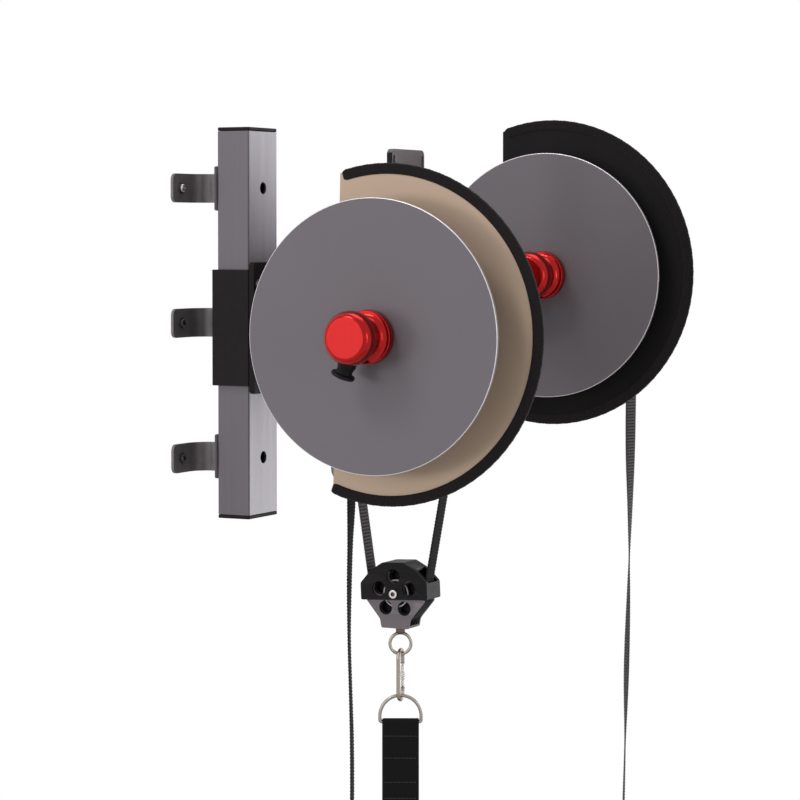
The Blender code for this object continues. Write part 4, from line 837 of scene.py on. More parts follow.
@dataclass
class Studio:
    """The camera at the photograph's place, the soft lamps, the white world and the pale floor."""

    camera_place: Place = (1.9511, -3.2792, 0.1252)
    camera_turn: float = 26.61
    lens: float = 122.04
    sensor: float = 36.0
    tilt: float = 1.548
    shift: float = -0.1178
    floor_z: float = -1.02
    floor_radius: float = 1.5
    world_light: float = 0.32

    def camera(self) -> None:
        """Create the camera and make it the scene's own."""
        data = bpy.data.cameras.new("Camera")
        data.lens = self.lens
        data.sensor_width = self.sensor
        data.shift_y = self.shift
        data.clip_end = 50.0
        made = bpy.data.objects.new("Camera", data)
        made.location = self.camera_place
        made.rotation_euler = (pi / 2 - radians(self.tilt), 0.0, radians(self.camera_turn))
        bpy.context.scene.collection.objects.link(made)
        bpy.context.scene.camera = made

    def lamps(self) -> None:
        """Light the object from the front, the right and above."""
        aim = Vector((0.3, 0.1, -0.1))
        for name, place, size, power, mirrored in (
            ("Key lamp", (-1.13, -3.51, 0.10), (0.8, 0.8), 27.0, False),
            ("Soft lamp", (-1.10, -3.45, 0.60), (2.6, 2.2), 28.0, True),
            ("Upper lamp", (-0.90, -2.90, 3.00), (1.4, 1.4), 46.0, True),
            ("Side lamp", (1.9, 2.9, 0.0), (0.9, 2.4), 34.0, True),
            ("Edge lamp", (3.4, -1.3, 0.2), (0.3, 1.6), 12.0, True),
            ("Top lamp", (0.6, 0.4, 3.0), (2.0, 2.0), 30.0, True),
        ):
            data = bpy.data.lights.new(name, "AREA")
            data.shape = "RECTANGLE"
            data.size, data.size_y = size
            data.energy = power
            made = bpy.data.objects.new(name, data)
            made.location = place
            made.rotation_euler = (aim - Vector(place)).to_track_quat("-Z", "Y").to_euler()
            made.visible_glossy = mirrored
            bpy.context.scene.collection.objects.link(made)

    def world(self) -> None:
        """A world that shows white and lights softly."""
        world = bpy.data.worlds.new("Studio")
        world.use_nodes = True
        bpy.context.scene.world = world
        graph = Graph(world.node_tree)
        for old in list(world.node_tree.nodes):
            world.node_tree.nodes.remove(old)
        rays = graph.node("ShaderNodeLightPath").outputs
        seen = graph.maths("MAXIMUM", rays["Is Camera Ray"], rays["Is Glossy Ray"])
        seen = graph.maths("MAXIMUM", seen, rays["Is Transmission Ray"])
        light = graph.node("ShaderNodeBackground", {"Color": (1, 1, 1, 1), "Strength": self.world_light})
        white = graph.node("ShaderNodeBackground", {"Color": (1, 1, 1, 1), "Strength": 1.0})
        mixed = graph.node("ShaderNodeMixShader", {0: seen, 1: light.outputs[0], 2: white.outputs[0]})
        graph.node("ShaderNodeOutputWorld", {"Surface": mixed.outputs[0]})

    def floor(self) -> None:
        """A round pale floor that keeps the object's shadow."""
        shape = turned([(0.0, 0.0), (self.floor_radius, 0.0), (self.floor_radius, -0.01), (0.0, -0.01)])
        made = shape.placed((0.3, 0.2, self.floor_z)).object("Floor")
        made.data.shade_flat()
        material = bpy.data.materials.new("Pale floor")
        material.use_nodes = True
        shader = material.node_tree.nodes["Principled BSDF"]
        shader.inputs["Base Color"].default_value = (0.86, 0.86, 0.86, 1.0)
        shader.inputs["Roughness"].default_value = 0.9
        made.data.materials.append(material)

    def build(self) -> None:
        """Set up the whole studio."""
        self.camera()
        self.world()
        self.lamps()
        self.floor()
        bpy.context.scene.view_settings.view_transform = "Standard"


@dataclass(frozen=True)
class Ribbon:
    """Section of the ribbed strap."""

    width: float = 0.0250
    thickness: float = 0.0016
    rib: float = 0.0008
    pitch: float = 0.0046
    samples: int = 6

    def section(self, along: float) -> list[Flat]:
        """The strap's outline at a distance along it.

        Args:
            along: Distance along the strap.

        Returns:
            The outline, with its ribs raised on both faces.
        """
        wave = 0.5 + 0.5 * cos(2 * pi * along / self.pitch)
        half = self.thickness / 2 + self.rib * (wave - 0.5)
        edge = half * 0.8
        flat = self.width / 2 - edge
        points = [(flat * share, half) for share in (1.0, 0.6, 0.2, -0.2, -0.6, -1.0)]
        points += [(-flat - edge * 0.8, half * 0.5), (-flat - edge, 0.0), (-flat - edge * 0.8, -half * 0.5)]
        points += [(-x, -z) for x, z in points]
        return points

    def along(self, path: Path, side: Callable[[int], Vector]) -> Shape:
        """The strap laid along even points, with its wide direction at each."""
        step = (path[1] - path[0]).length
        return swept(path, lambda index: self.section(index * step), side)

    def step(self) -> float:
        """The distance between points that shows each rib."""
        return self.pitch / self.samples


RIBBON = Ribbon()


def eased(values: Sequence[float], share: float) -> float:
    """A smooth value through four neighbours, between the middle two.

    Args:
        values: The four values.
        share: How far on between the middle two, 0 to 1.

    Returns:
        The value there.
    """
    before, start, end, after = values
    return 0.5 * (
        2 * start
        + (end - before) * share
        + (2 * before - 5 * start + 4 * end - after) * share**2
        + (3 * start - before - 3 * end + after) * share**3
    )


@dataclass
class FreeStrap:
    """A strap that hangs free from its exit, with the route of its CAD solid."""

    name: str
    node: str
    x: float
    y: float
    top: float
    route: tuple[Place, ...]
    lead: list[Flat] = field(default_factory=list)
    smooth_steps: int = 12
    cloth: Finish = STRAP_CLOTH

    def stations(self) -> list[tuple[Vector, float]]:
        """Points of its middle line with the turn of its wide side.

        Returns:
            The points and turns, from its exit down.
        """
        route = ((self.top, 0.0, 0.0), *self.route)
        padded = [route[0], *route, route[-1]]
        made = [(Vector((x, self.y, z)), 0.0) for x, z in self.lead]
        for index in range(len(route) - 1):
            four = padded[index : index + 4]
            for step in range(self.smooth_steps):
                share = step / self.smooth_steps
                z, shift, turn = (eased([item[part] for item in four], share) for part in range(3))
                made.append((Vector((self.x + shift, self.y, z)), turn))
        z, shift, turn = route[-1]
        made.append((Vector((self.x + shift, self.y, z)), turn))
        return made

    def build(self) -> None:
        stations = self.stations()
        rough = [place for place, _ in stations]
        path = resampled(rough, RIBBON.step())
        lengths = lengths_along(rough)
        step = lengths[-1] / (len(path) - 1)

        def side(index: int) -> Vector:
            """The strap's wide direction at a point.

            Args:
                index: The point's number.

            Returns:
                The direction.
            """
            wanted = min(index * step, lengths[-1])
            passed = (n for n, value in enumerate(lengths[1:]) if value >= wanted - 1e-9)
            found = next(passed, len(lengths) - 2)
            span = max(lengths[found + 1] - lengths[found], 1e-9)
            share = (wanted - lengths[found]) / span
            turn = stations[found][1] * (1 - share) + stations[found + 1][1] * share
            return Vector((-sin(radians(turn)), cos(radians(turn)), 0.0))

        made = install(RIBBON.along(path, side).object(self.name), self.cloth, [self.node])
        route = [tuple(place) for place in resampled(rough, 0.01)]


NEAR_TAIL_ROUTE = (
    (-0.25, -0.0004, 3.0), (-0.30, -0.0020, 12.0), (-0.36, -0.0034, 15.0), (-0.43, -0.0036, 20.0),
    (-0.50, -0.0016, 20.0), (-0.57, 0.0004, 18.0), (-0.64, 0.0008, 17.5), (-0.70, 0.0000, 17.0),
)
FAR_STRAP_ROUTE = (
    (-0.02, 0.0000, -18.0), (-0.10, -0.0012, -16.0), (-0.20, -0.0022, -12.0), (-0.30, -0.0026, 8.0),
    (-0.42, -0.0046, 30.0), (-0.54, -0.0078, 38.0), (-0.66, -0.0100, 21.5), (-0.76, -0.0124, 16.0),
    (-0.80, -0.0130, 15.0),
)


@dataclass
class Straps:
    """The two free straps, made first."""

    far_wrap: float = 0.0341

    def build(self) -> None:
        """Make both free straps."""
        place = (BAR_X - BAR_STRAP, 0.0, BAR_Z - FIT)
        FreeStrap("tail_strap", "near_strap_tail", *place, NEAR_TAIL_ROUTE, cloth=SHADED_CLOTH).build()
        shaft = middle_of("far_shaft")
        lead = arc(shaft.x, shaft.z, self.far_wrap, 100, 0, 24)[:-1]
        far_x = shaft.x + self.far_wrap
        top = shaft.z + STRAP_ROW / 2
        y = middle_of("far_head_frame").y
        FreeStrap("far_hanging_strap", "far_strap", far_x, y, top, FAR_STRAP_ROUTE, lead).build()


def middle_of(node: str) -> Vector:
    """The middle of a CAD node's box."""
    low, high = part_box(node)
    return (low + high) / 2


def size_of(node: str) -> Vector:
    """The size of a CAD node's box."""
    low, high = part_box(node)
    return high - low


def rod(radius: float, length: float, place: Place, turn: Turn, sides: int = 48) -> Shape:
    """A plain round rod about its middle, for cutting holes and for pins."""
    half = length / 2
    return turned([(0.0, half), (radius, half), (radius, -half), (0.0, -half)], sides).placed(place, turn)


def block(size: Place, place: Place, corner: float = 0.0002) -> Shape:
    """A box about its middle with barely rounded upright edges, for cutting."""
    return plate([rounded_rectangle(size[0], size[1], corner, 2)], size[2], 0.0001, 1).placed(place)

def copies(shape: Shape, places: Iterable[Place], turn: Turn) -> Shape:
    """The same shape turned and set at several places."""
    return sum((shape.placed(place, turn) for place in places), Shape())


def softened(made: Piece, width: float) -> None:
    """Round the sharp edges of a piece that was cut.

    Args:
        made: The piece.
        width: Width of the rounding.
    """
    bevel = made.modifiers.new("Rounded edges", "BEVEL")
    bevel.width = width
    bevel.segments = 2
    bevel.limit_method = "ANGLE"
    bevel.angle_limit = radians(35)
    made.modifiers.move(len(made.modifiers) - 1, 0)


def accented(made: Piece, finish: Finish, chosen: Callable[[Vector], bool]) -> None:
    """Give the faces whose middles are chosen a second finish."""
    made.data.materials.append(finish.material())
    made.data.polygons.foreach_set("material_index", [chosen(face.center) for face in made.data.polygons])


def pan_screw(radius: float, height: float) -> Shape:
    """A domed screw head with a cross recess, standing on Z = 0.

    Args:
        radius: Radius of the head.
        height: Height of the head.

    Returns:
        The head.
    """
    turns = [pi / 2 * step / 8 for step in range(9)]
    dome = [(radius * sin(turn), height * 0.35 + height * 0.65 * cos(turn)) for turn in turns]
    head = turned([*dome, (radius, 0.0), (0.0, 0.0)], 40)
    slot = (1.15 * radius, 0.24 * radius, height)
    for turn in (0.0, pi / 2):
        cutter = block(slot, (0, 0, 0)).placed((0, 0, 1.05 * height), (0, 0, turn))
        head = head.combined(cutter)
    return head


def socket_screw(radius: float, height: float) -> Shape:
    """A low round head with a hexagon socket, standing on Z = 0.

    Args:
        radius: Radius of the head.
        height: Height of the head.

    Returns:
        The head.
    """
    side = filleted([(0.2 * radius, height), (radius, height), (radius, 0.0)], 0.3 * height)
    head = turned([(0.0, height), *side, (0.0, 0.0)], 40)
    socket = plate([circle(0.55 * radius, 6)], height, 0.0, 1).placed((0, 0, height))
    return head.combined(socket)


@dataclass
class WallRail:
    """The post with its caps, and the brackets and screws that hold it off the wall."""

    heights: tuple[float, ...] = (0.1865, 0.0, -0.1870)
    corner: float = 0.0025
    wall: float = 0.003
    tool_hole: float = 0.017
    bolt_hole: float = 0.0106
    sheet: float = 0.004
    strip_height: float = 0.040
    flange_height: float = 0.062
    flange_width: float = 0.040
    span: float = 0.176
    foot_start: float = 0.034
    standoff: float = 0.034
    arm_reach: float = 0.017
    strip_corner: float = 0.009
    bend: float = 0.010
    screw_offset: float = 0.066
    dark_ring: float = 0.00725
    head: float = 0.0056

    def post(self) -> None:
        """The brushed tube with its tool holes."""
        low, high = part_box("post_tube")
        size = high - low
        outer = rounded_rectangle(size.x, size.y, self.corner, 8)
        inner = rounded_rectangle(size.x - 2 * self.wall, size.y - 2 * self.wall, 0.001, 3)
        shape = plate([outer, inner], size.z, 0.0004, 2).placed(tuple((low + high) / 2))
        for height in self.heights:
            front = rod(self.tool_hole / 2, 4 * self.wall, (high.x, 0, height), ALONG_X)
            back = rod(self.bolt_hole / 2, 4 * self.wall, (low.x, 0, height), ALONG_X)
            shape = shape.combined(front).combined(back)
        post = rigid("post", shape, POST_METAL, ["post_tube"])
        # The front face takes the lighter copy of the post metal, as painted light
        face = high.x - 0.0002
        accented(post, POST_FRONT_PAINTED_LIGHT, lambda spot: spot.x > face)

    def caps(self) -> None:
        """The two end caps, each with its plug."""
        post = size_of("post_tube")
        outline = rounded_rectangle(post.x, post.y, self.corner, 8)
        for end, side in (("top", 1), ("bottom", -1)):
            node = f"post_cap_{end}"
            low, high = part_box(node)
            post_end = side * post.z / 2
            outer = high.z if side > 0 else low.z
            thickness = abs(outer - post_end) - FIT
            place = ((low.x + high.x) / 2, 0.0, outer - side * thickness / 2)
            cap = plate([outline], thickness, 0.0014, 4).placed(place)
            plug_size = (post.x - 2 * self.wall - 2 * FIT, post.y - 2 * self.wall - 2 * FIT, 0.006)
            plug = block(plug_size, (place[0], 0.0, post_end - side * 0.0028), 0.001)
            rigid(f"{end}_cap", cap + plug, CAP_PLASTIC, [node])

    def bracket(self) -> Shape:
        """One bent bracket at height zero.

        Returns:
            Its shape.
        """
        middle = self.sheet / 2
        arm_y = self.flange_width / 2 - middle
        bend_x = self.standoff - self.arm_reach
        half = [
            (middle, -self.span / 2 - self.strip_corner),
            (middle, -self.foot_start),
            (bend_x, -arm_y),
            (self.standoff - middle, -arm_y),
            (self.standoff - middle, 0.0),
        ]
        line = half + [(x, -y) for x, y in half[-2::-1]]
        outline = strip(filleted(line, self.bend, 8), self.sheet)
        bent = plate([outline], 1.2 * self.flange_height, 0.0, 1)
        face = rounded_rectangle(self.span, self.strip_height, self.strip_corner, 8)
        foot = plate([face], 4 * self.standoff, 0.0, 1).placed((0, 0, 0), STAND_YZ)
        strip_part = bent.combined(foot, "INTERSECT")
        flange_face = rounded_rectangle(1.2 * self.flange_width, self.flange_height, 0.010, 8)
        root = self.standoff - self.sheet - 0.001
        flange = plate([flange_face], 0.060, 0.0, 1).placed((root + 0.030, 0, 0), STAND_YZ)
        flange_part = bent.combined(flange, "INTERSECT")
        whole = strip_part.combined(flange_part, "UNION")
        whole = whole.combined(rod(self.bolt_hole / 2, 0.020, (self.standoff, 0, 0), ALONG_X))
        for side in (-1, 1):
            whole = whole.combined(rod(0.0034, 0.020, (0, side * self.screw_offset, 0), ALONG_X, 32))
        return whole

    def build(self) -> None:
        """Make every piece that is fixed to the wall."""
        self.post()
        self.caps()
        bracket = self.bracket()
        head = pan_screw(self.head, 0.0036)
        # A dark ring, wider than the head, sits under each screw head and shows round it
        ring = [(0.0031, 0.0), (self.dark_ring, 0.0), (self.dark_ring, 0.0013), (0.0031, 0.0013)]
        dark_ring = turned(eased_profile(ring, 0.0003, 2), 48)
        for number, height in enumerate(self.heights, 1):
            shape = bracket.placed((0, 0, height))
            made = rigid(f"bracket_{number}", shape, BRACKET_METAL, [f"wall_bracket_{number}"])
            softened(made, 0.0005)
            finish = BRIGHT_SCREW if number == 1 else DARK_SCREW
            for side, word in ((-1, "near"), (1, "far")):
                end = f"{number}_{word}"
                x, y, z = (self.sheet + FIT, side * self.screw_offset, height)
                shank = rod(0.003, self.sheet, (self.sheet / 2 + FIT, y, z), ALONG_X, 24)
                seated = head.placed((x + 0.0012, y, z), ALONG_X)
                rigid(f"screw_head_{end}", seated + shank, finish, [f"wall_screw_{end}"])
                rigid(f"screw_dark_ring_{end}", dark_ring.placed((x, y, z), ALONG_X), DARK_SCREW, (), "wall_rail")
            bolt = frame["nodes"][f"rail_bolt_{number}"]
            if not bolt.material_slots:
                bolt.data.materials.append(DARK_SCREW.material())
            for slot in bolt.material_slots:
                slot.material = DARK_SCREW.material()
            LOG.info("%s: kept, %s", bolt.name, DARK_SCREW.name)


@dataclass
class Carriage:
    """The sleeve that slides on the post, its front plate and its clamp knob."""

    lip: float = 0.003
    slot: float = 0.014
    side_wall: float = 0.009
    front_wall: float = 0.0047
    plate_corner: float = 0.006
    lobes: int = 6
    knob_depth: float = 0.020
    stud: float = 0.008

    def sleeve(self) -> None:
        """The black C-shaped sleeve."""
        low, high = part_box("carriage_sleeve")
        inner_half = high.y - self.side_wall
        inner_front = high.x - self.front_wall
        inner_back = low.x + self.lip
        edge = 0.0015
        half = [(low.x, self.slot), (low.x, high.y - edge), (low.x + edge, high.y)]
        half += [(high.x - edge, high.y), (high.x, high.y - edge)]
        inner = [(inner_front, inner_half), (inner_back, inner_half), (inner_back, self.slot)]
        outline = half + [(x, -y) for x, y in half[::-1]]
        outline += [(x, -y) for x, y in inner[::-1]] + inner
        middle_z = (low.z + high.z) / 2
        shape = plate([outline], high.z - low.z, 0.0006, 2).placed((0, 0, middle_z))
        rigid("sleeve", shape, SLEEVE_METAL, ["carriage_sleeve"])

    def front_plate(self) -> None:
        """The mounting plate with its four socket screws."""
        low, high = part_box("carriage_plate")
        size = high - low
        outline = rounded_rectangle(size.y, size.z, self.plate_corner, 8)
        middle = (low + high) / 2
        shape = plate([outline], size.x, 0.0009, 3).placed(tuple(middle), STAND_YZ)
        rigid("front_plate", shape, SLEEVE_METAL, ["carriage_plate"])
        spots = [(y * (size.y / 2 - 0.010), z * (size.z / 2 - 0.030)) for y in (-1, 1) for z in (-1, 1)]
        screws = copies(socket_screw(0.0065, 0.0035), [(high.x, y, middle.z + z) for y, z in spots], ALONG_X)
        rigid("plate_screws", screws, DARK_SCREW, (), "carriage")

    def clamp(self) -> None:
        """The lobed knob on its stud."""
        low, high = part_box("clamp_knob")
        radius = (high.z - low.z) / 2
        outline = []
        for step in range(144):
            turn = 2 * pi * step / 144
            reach = radius * (0.93 + 0.07 * cos(self.lobes * turn))
            outline.append((reach * cos(turn), reach * sin(turn)))
        middle = (low + high) / 2
        grip_y = high.y - self.knob_depth / 2
        grip = plate([outline], self.knob_depth, 0.0035, 6).placed((middle.x, grip_y, middle.z), ALONG_Y)
        length = grip_y - low.y
        stud = rod(self.stud / 2, length, (middle.x, low.y + length / 2, middle.z), ALONG_Y, 32)
        collar_length = grip_y - self.knob_depth / 2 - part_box("carriage_sleeve")[1].y - FIT
        collar_y = grip_y - self.knob_depth / 2 - collar_length / 2 + 0.0002
        collar = rod(self.stud, collar_length, (middle.x, collar_y, middle.z), ALONG_Y, 32)
        rigid("clamp_grip", grip + stud + collar, CAP_PLASTIC, ["clamp_knob"])

    def build(self) -> None:
        """Make the sliding group."""
        self.sleeve()
        self.front_plate()
        self.clamp()


@dataclass
class Framework:
    """The arms, cross-beam, spine plates and bearing frames that carry both heads."""

    arm_wall: float = 0.004
    beam_depth: float = 0.050
    beam_wall: float = 0.003
    far_arm: float = 0.060
    corner: float = 0.004
    spine_corner: float = 0.008
    slot_width: float = 0.0045
    slot_offset: float = 0.0426
    slot_length: float = 0.110
    slot_margin: float = 0.008
    head_sheet: float = 0.004
    nose: float = 0.045
    shaft: float = 0.020
    housing: float = 0.060
    flange: float = 0.090
    flange_thickness: float = 0.006
    bore: float = 0.014

    def square_tube(self, width: float, height: float, wall: float, length: float) -> Shape:
        """A square tube along local Z with round corners."""
        inner = rounded_rectangle(width - 2 * wall, height - 2 * wall, 0.002, 3)
        return plate([rounded_rectangle(width, height, self.corner, 6), inner], length, 0.0004, 2)

    def weld(self, x: float, y: float, z: float, half: float) -> Shape:
        """A weld bead round a square arm.

        Args:
            x: Where the arm meets its carrier.
            y: Place of the arm's middle along Y.
            z: Height of the arm's middle.
            half: Half the arm's width.

        Returns:
            The bead.
        """
        outline = rounded_rectangle(2 * half + 0.001, 2 * half + 0.001, self.corner, 6)
        rough = [Vector((x, y + a, z + b)) for a, b in [*outline, outline[0]]]
        path = resampled(rough, 0.0012)[:-1]
        ring = circle(0.0022, 10)

        def section(index: int) -> list[Flat]:
            """The bead's section, with the ripples of its passes."""
            swell = 1.0 + 0.12 * sin(index * 1.9) + 0.06 * sin(index * 0.7)
            return [(a * swell, b * swell) for a, b in ring]

        return swept(path, section, lambda index: Vector((1, 0, 0)), True)

    def arms(self) -> None:
        """The near arm, and the cross-beam with the far arm welded to it."""
        size = size_of("head_arm")
        arm = middle_of("head_arm")
        near = self.square_tube(size.y, size.z, self.arm_wall, size.x)
        rigid("near_arm", near.placed(tuple(arm), STAND_YZ), FRAME_PAINT, ["head_arm"])
        bead = self.weld(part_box("carriage_plate")[1].x + 0.001, 0.0, arm.z, size.z / 2)
        rigid("near_arm_weld", bead, FRAME_PAINT, (), "carriage")

        low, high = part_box("cross_beam")
        middle = (low + high) / 2
        beam_x = low.x + self.beam_depth / 2
        beam = self.square_tube(self.beam_depth, high.z - low.z, self.beam_wall, high.y - low.y)
        beam = beam.placed((beam_x, middle.y, middle.z), STAND_XZ)
        start = low.x + self.beam_depth - 0.0005
        length = high.x - start
        far_y = middle_of("far_head_frame").y
        far = self.square_tube(self.far_arm, self.far_arm, self.arm_wall, length)
        far = far.placed((start + length / 2, far_y, middle.z), STAND_YZ)
        bead = self.weld(low.x + self.beam_depth, far_y, middle.z, self.far_arm / 2)
        lid_outline = rounded_rectangle(self.beam_depth - 0.001, high.z - low.z - 0.001, self.corner, 6)
        lid = plate([lid_outline], 0.003).placed((beam_x, high.y - 0.0016, middle.z), STAND_XZ)
        rigid("beam_and_far_arm", beam + far + bead + lid, FRAME_PAINT, ["cross_beam"])

        low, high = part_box("beam_cap")
        outline = rounded_rectangle(high.x - low.x, high.z - low.z, self.corner, 6)
        place = ((low.x + high.x) / 2, low.y + 0.002, (low.z + high.z) / 2)
        cap = plate([outline], 0.004, 0.0012, 4).placed(place, STAND_XZ)
        rigid("cross_beam_cap", cap, CAP_PLASTIC, ["beam_cap"])

    def spines(self) -> None:
        """The slotted spine and the far head's back plate."""
        size = size_of("spine_plate")
        outline = rounded_rectangle(size.y, size.z, self.spine_corner, 8)
        slot_middle = size.z / 2 - self.slot_margin - self.slot_length / 2
        slots = []
        for side in (-1, 1):
            slot = rounded_rectangle(self.slot_width, self.slot_length, self.slot_width / 2 - 0.0001, 6)
            slots.append([(x + side * self.slot_offset, y + slot_middle) for x, y in slot])
        shape = plate([outline, *slots], size.x, 0.0006, 3).placed(tuple(middle_of("spine_plate")), STAND_YZ)
        made = rigid("spine", shape, FRAME_PAINT, ["spine_plate"])
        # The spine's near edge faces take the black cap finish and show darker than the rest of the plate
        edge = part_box("spine_plate")[0].y + 0.0006
        accented(made, CAP_PLASTIC, lambda place: place.y < edge)
        size = size_of("far_back_plate")
        outline = rounded_rectangle(size.y, size.z, self.spine_corner, 8)
        shape = plate([outline], size.x, 0.0006, 3).placed(tuple(middle_of("far_back_plate")), STAND_YZ)
        rigid("far_back", shape, FRAME_PAINT, ["far_back_plate"])
        spots = []
        for node in ("near_head_frame", "far_head_frame"):
            place = middle_of(node)
            half = size_of(node).z / 2 - 0.012
            inside_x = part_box(node)[0].x + self.head_sheet
            spots += [(inside_x, place.y + y, place.z + z) for y in (-0.026, 0.026) for z in (-half, half)]
        screws = copies(socket_screw(0.0055, 0.0030), spots, ALONG_X)
        rigid("frame_screws", screws, DARK_SCREW, (), "carriage")

    def bearing_frame(self, prefix: str) -> None:
        """A U-shaped bearing frame with a bearing cap on its far cheek.

        Args:
            prefix: near or far.
        """
        node = f"{prefix}_head_frame"
        low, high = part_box(node)
        shaft = middle_of(f"{prefix}_shaft")
        half = (high.z - low.z) / 2
        reach = shaft.x - low.x
        outline = [(0.0, half), (0.0, -half), (self.nose / 2, -half)]
        outline += arc(reach, 0.0, self.nose, -80, 80, 24)
        outline += [(self.nose / 2, half)]
        bore = circle(self.shaft / 2 + 0.0005, 48, reach, 0.0)
        cheek = plate([outline, bore], self.head_sheet, 0.0006, 2)
        shape = Shape()
        for y in (low.y + self.head_sheet / 2, high.y - self.head_sheet / 2):
            shape = shape + cheek.placed((low.x, y, shaft.z), STAND_XZ)
        web_outline = rounded_rectangle(high.y - low.y - 0.001, 2 * half, 0.001, 2)
        web = plate([web_outline], self.head_sheet, 0.0005, 2)
        shape = shape + web.placed((low.x + self.head_sheet / 2, (low.y + high.y) / 2, shaft.z), STAND_YZ)
        rigid(f"{prefix}_bearing_frame", shape, FRAME_PAINT, [node])
        inner = self.shaft / 2 + 0.0006
        profile = [(inner, 0.0), (0.021, 0.0), (0.021, 0.0020), (0.015, 0.0045), (inner, 0.0045)]
        cap = turned(eased_profile(profile, 0.0006, 3), 72).placed((shaft.x, high.y, shaft.z), TO_FAR_SIDE)
        rigid(f"{prefix}_bearing_cap", cap, DARK_SCREW, (), "carriage")

    def housing_tube(self, prefix: str) -> None:
        """The flanged tube that carries a guard.

        Args:
            prefix: near or far.
        """
        node = f"{prefix}_housing"
        low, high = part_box(node)
        shaft = middle_of(f"{prefix}_shaft")
        front = -low.y
        back = -high.y
        flange = self.flange / 2
        tube = self.housing / 2
        under = front - self.flange_thickness
        profile = [(self.bore, front), (flange, front), (flange, under), (tube + 0.004, under)]
        profile += [(tube, under - 0.004), (tube, back), (self.bore, back)]
        shape = turned(eased_profile(profile, 0.0012, 4), 96)
        shape = shape.placed((shaft.x, 0.0, shaft.z), STAND_XZ)
        rigid(f"{prefix}_guard_carrier", shape, FRAME_PAINT, [node])
        turns = [2 * pi * step / 6 for step in range(6)]
        spots = [(shaft.x + 0.038 * cos(turn), -under, shaft.z + 0.038 * sin(turn)) for turn in turns]
        screws = copies(socket_screw(0.0042, 0.0028), spots, TO_FAR_SIDE)
        rigid(f"{prefix}_carrier_screws", screws, DARK_SCREW, (), "carriage")

    def build(self) -> None:
        """Make the framework."""
        self.arms()
        self.spines()
        for prefix in ("near", "far"):
            self.bearing_frame(prefix)
            self.housing_tube(prefix)


@dataclass
class Guard:
    """A guard sheet and the soft trim that wraps its arc."""

    prefix: str
    finish: Finish
    middle_x: float
    middle_z: float
    front_y: float
    lean: float
    radius: float = 0.2175
    sheet: float = 0.003
    fit: float = 0.0007
    chord_x: float = 0.316
    bore: float = 0.025
    trim_width: float = 0.0142
    trim_thickness: float = 0.007
    trim_proud: float = 0.002
    low_gap: float = -0.2
    high_gap: float = 1.3
    def __post_init__(self) -> None:
        """Find where the guard's middle stands and how it leans."""
        self.place: Place = (self.middle_x, self.front_y + self.sheet / 2, self.middle_z)
        self.turn: Turn = (pi / 2, radians(self.lean), 0.0)

    def half_angle(self, radius: float) -> float:
        """The angle in degrees from straight ahead to the chord, at a radius."""
        return 180 - acos((self.middle_x - self.chord_x) / radius) * 180 / pi

    def sheet_piece(self) -> None:
        """The flat sheet with its bore."""
        radius = self.radius - self.fit
        half = self.half_angle(radius)
        outline = arc(0, 0, radius, -half, half, 180)
        shaft = middle_of(f"{self.prefix}_shaft")
        hole = circle(self.bore, 64, shaft.x - self.middle_x, 0.0)
        shape = plate([outline, hole], self.sheet, 0.0008, 3).placed(self.place, self.turn)
        rigid(f"{self.prefix}_sheet", shape, self.finish, [f"{self.prefix}_guard"])

    def trim_piece(self) -> None:
        """The trim along the arc, open towards the sheet."""
        middle_radius = self.radius + self.trim_proud - self.trim_width / 2
        half_turn = self.half_angle(middle_radius)
        steps = 420
        flat = arc(0, 0, middle_radius, self.low_gap - half_turn, half_turn - self.high_gap, steps)
        path = [Vector((x, y, 0.0)) for x, y in flat]
        half = self.trim_thickness / 2
        reach = self.trim_width / 2
        slot = self.sheet / 2 + FIT
        corner = 0.0024
        back = arc(-half + corner, reach - corner, corner, 180, 90, 4)
        back += arc(half - corner, reach - corner, corner, 90, 0, 4)
        inside = [(slot, reach - 0.0030), (-slot, reach - 0.0030)]

        def section(index: int) -> list[Flat]:
            """The section with the unevenness of its cloth, and rounded ends.

            Args:
                index: The step's number.

            Returns:
                The outline.
            """
            swell = (1.0 + 0.025 * sin(index * 2.4) + 0.02 * sin(index * 0.83 + 1.0)) * 0.98
            closing = 0.72 + 0.28 * sin(pi / 2 * min(min(index, steps - index) / 3, 1.0))
            lips = [(half * swell, -reach + 0.0012), (half - 0.0012, -reach), (slot, -reach)]
            outline = [(a * swell, b * swell) for a, b in back] + lips + inside
            return [(a * closing, b * closing) for a, b in outline + [(-a, b) for a, b in lips[::-1]]]

        shape = swept(path, section, lambda index: Vector((0, 0, 1))).placed(self.place, self.turn)
        rigid(f"{self.prefix}_trim", shape, TRIM_FELT, [f"{self.prefix}_guard_trim"], angle=50)

    def build(self) -> None:
        """Make the sheet and its trim."""
        self.sheet_piece()
        self.trim_piece()


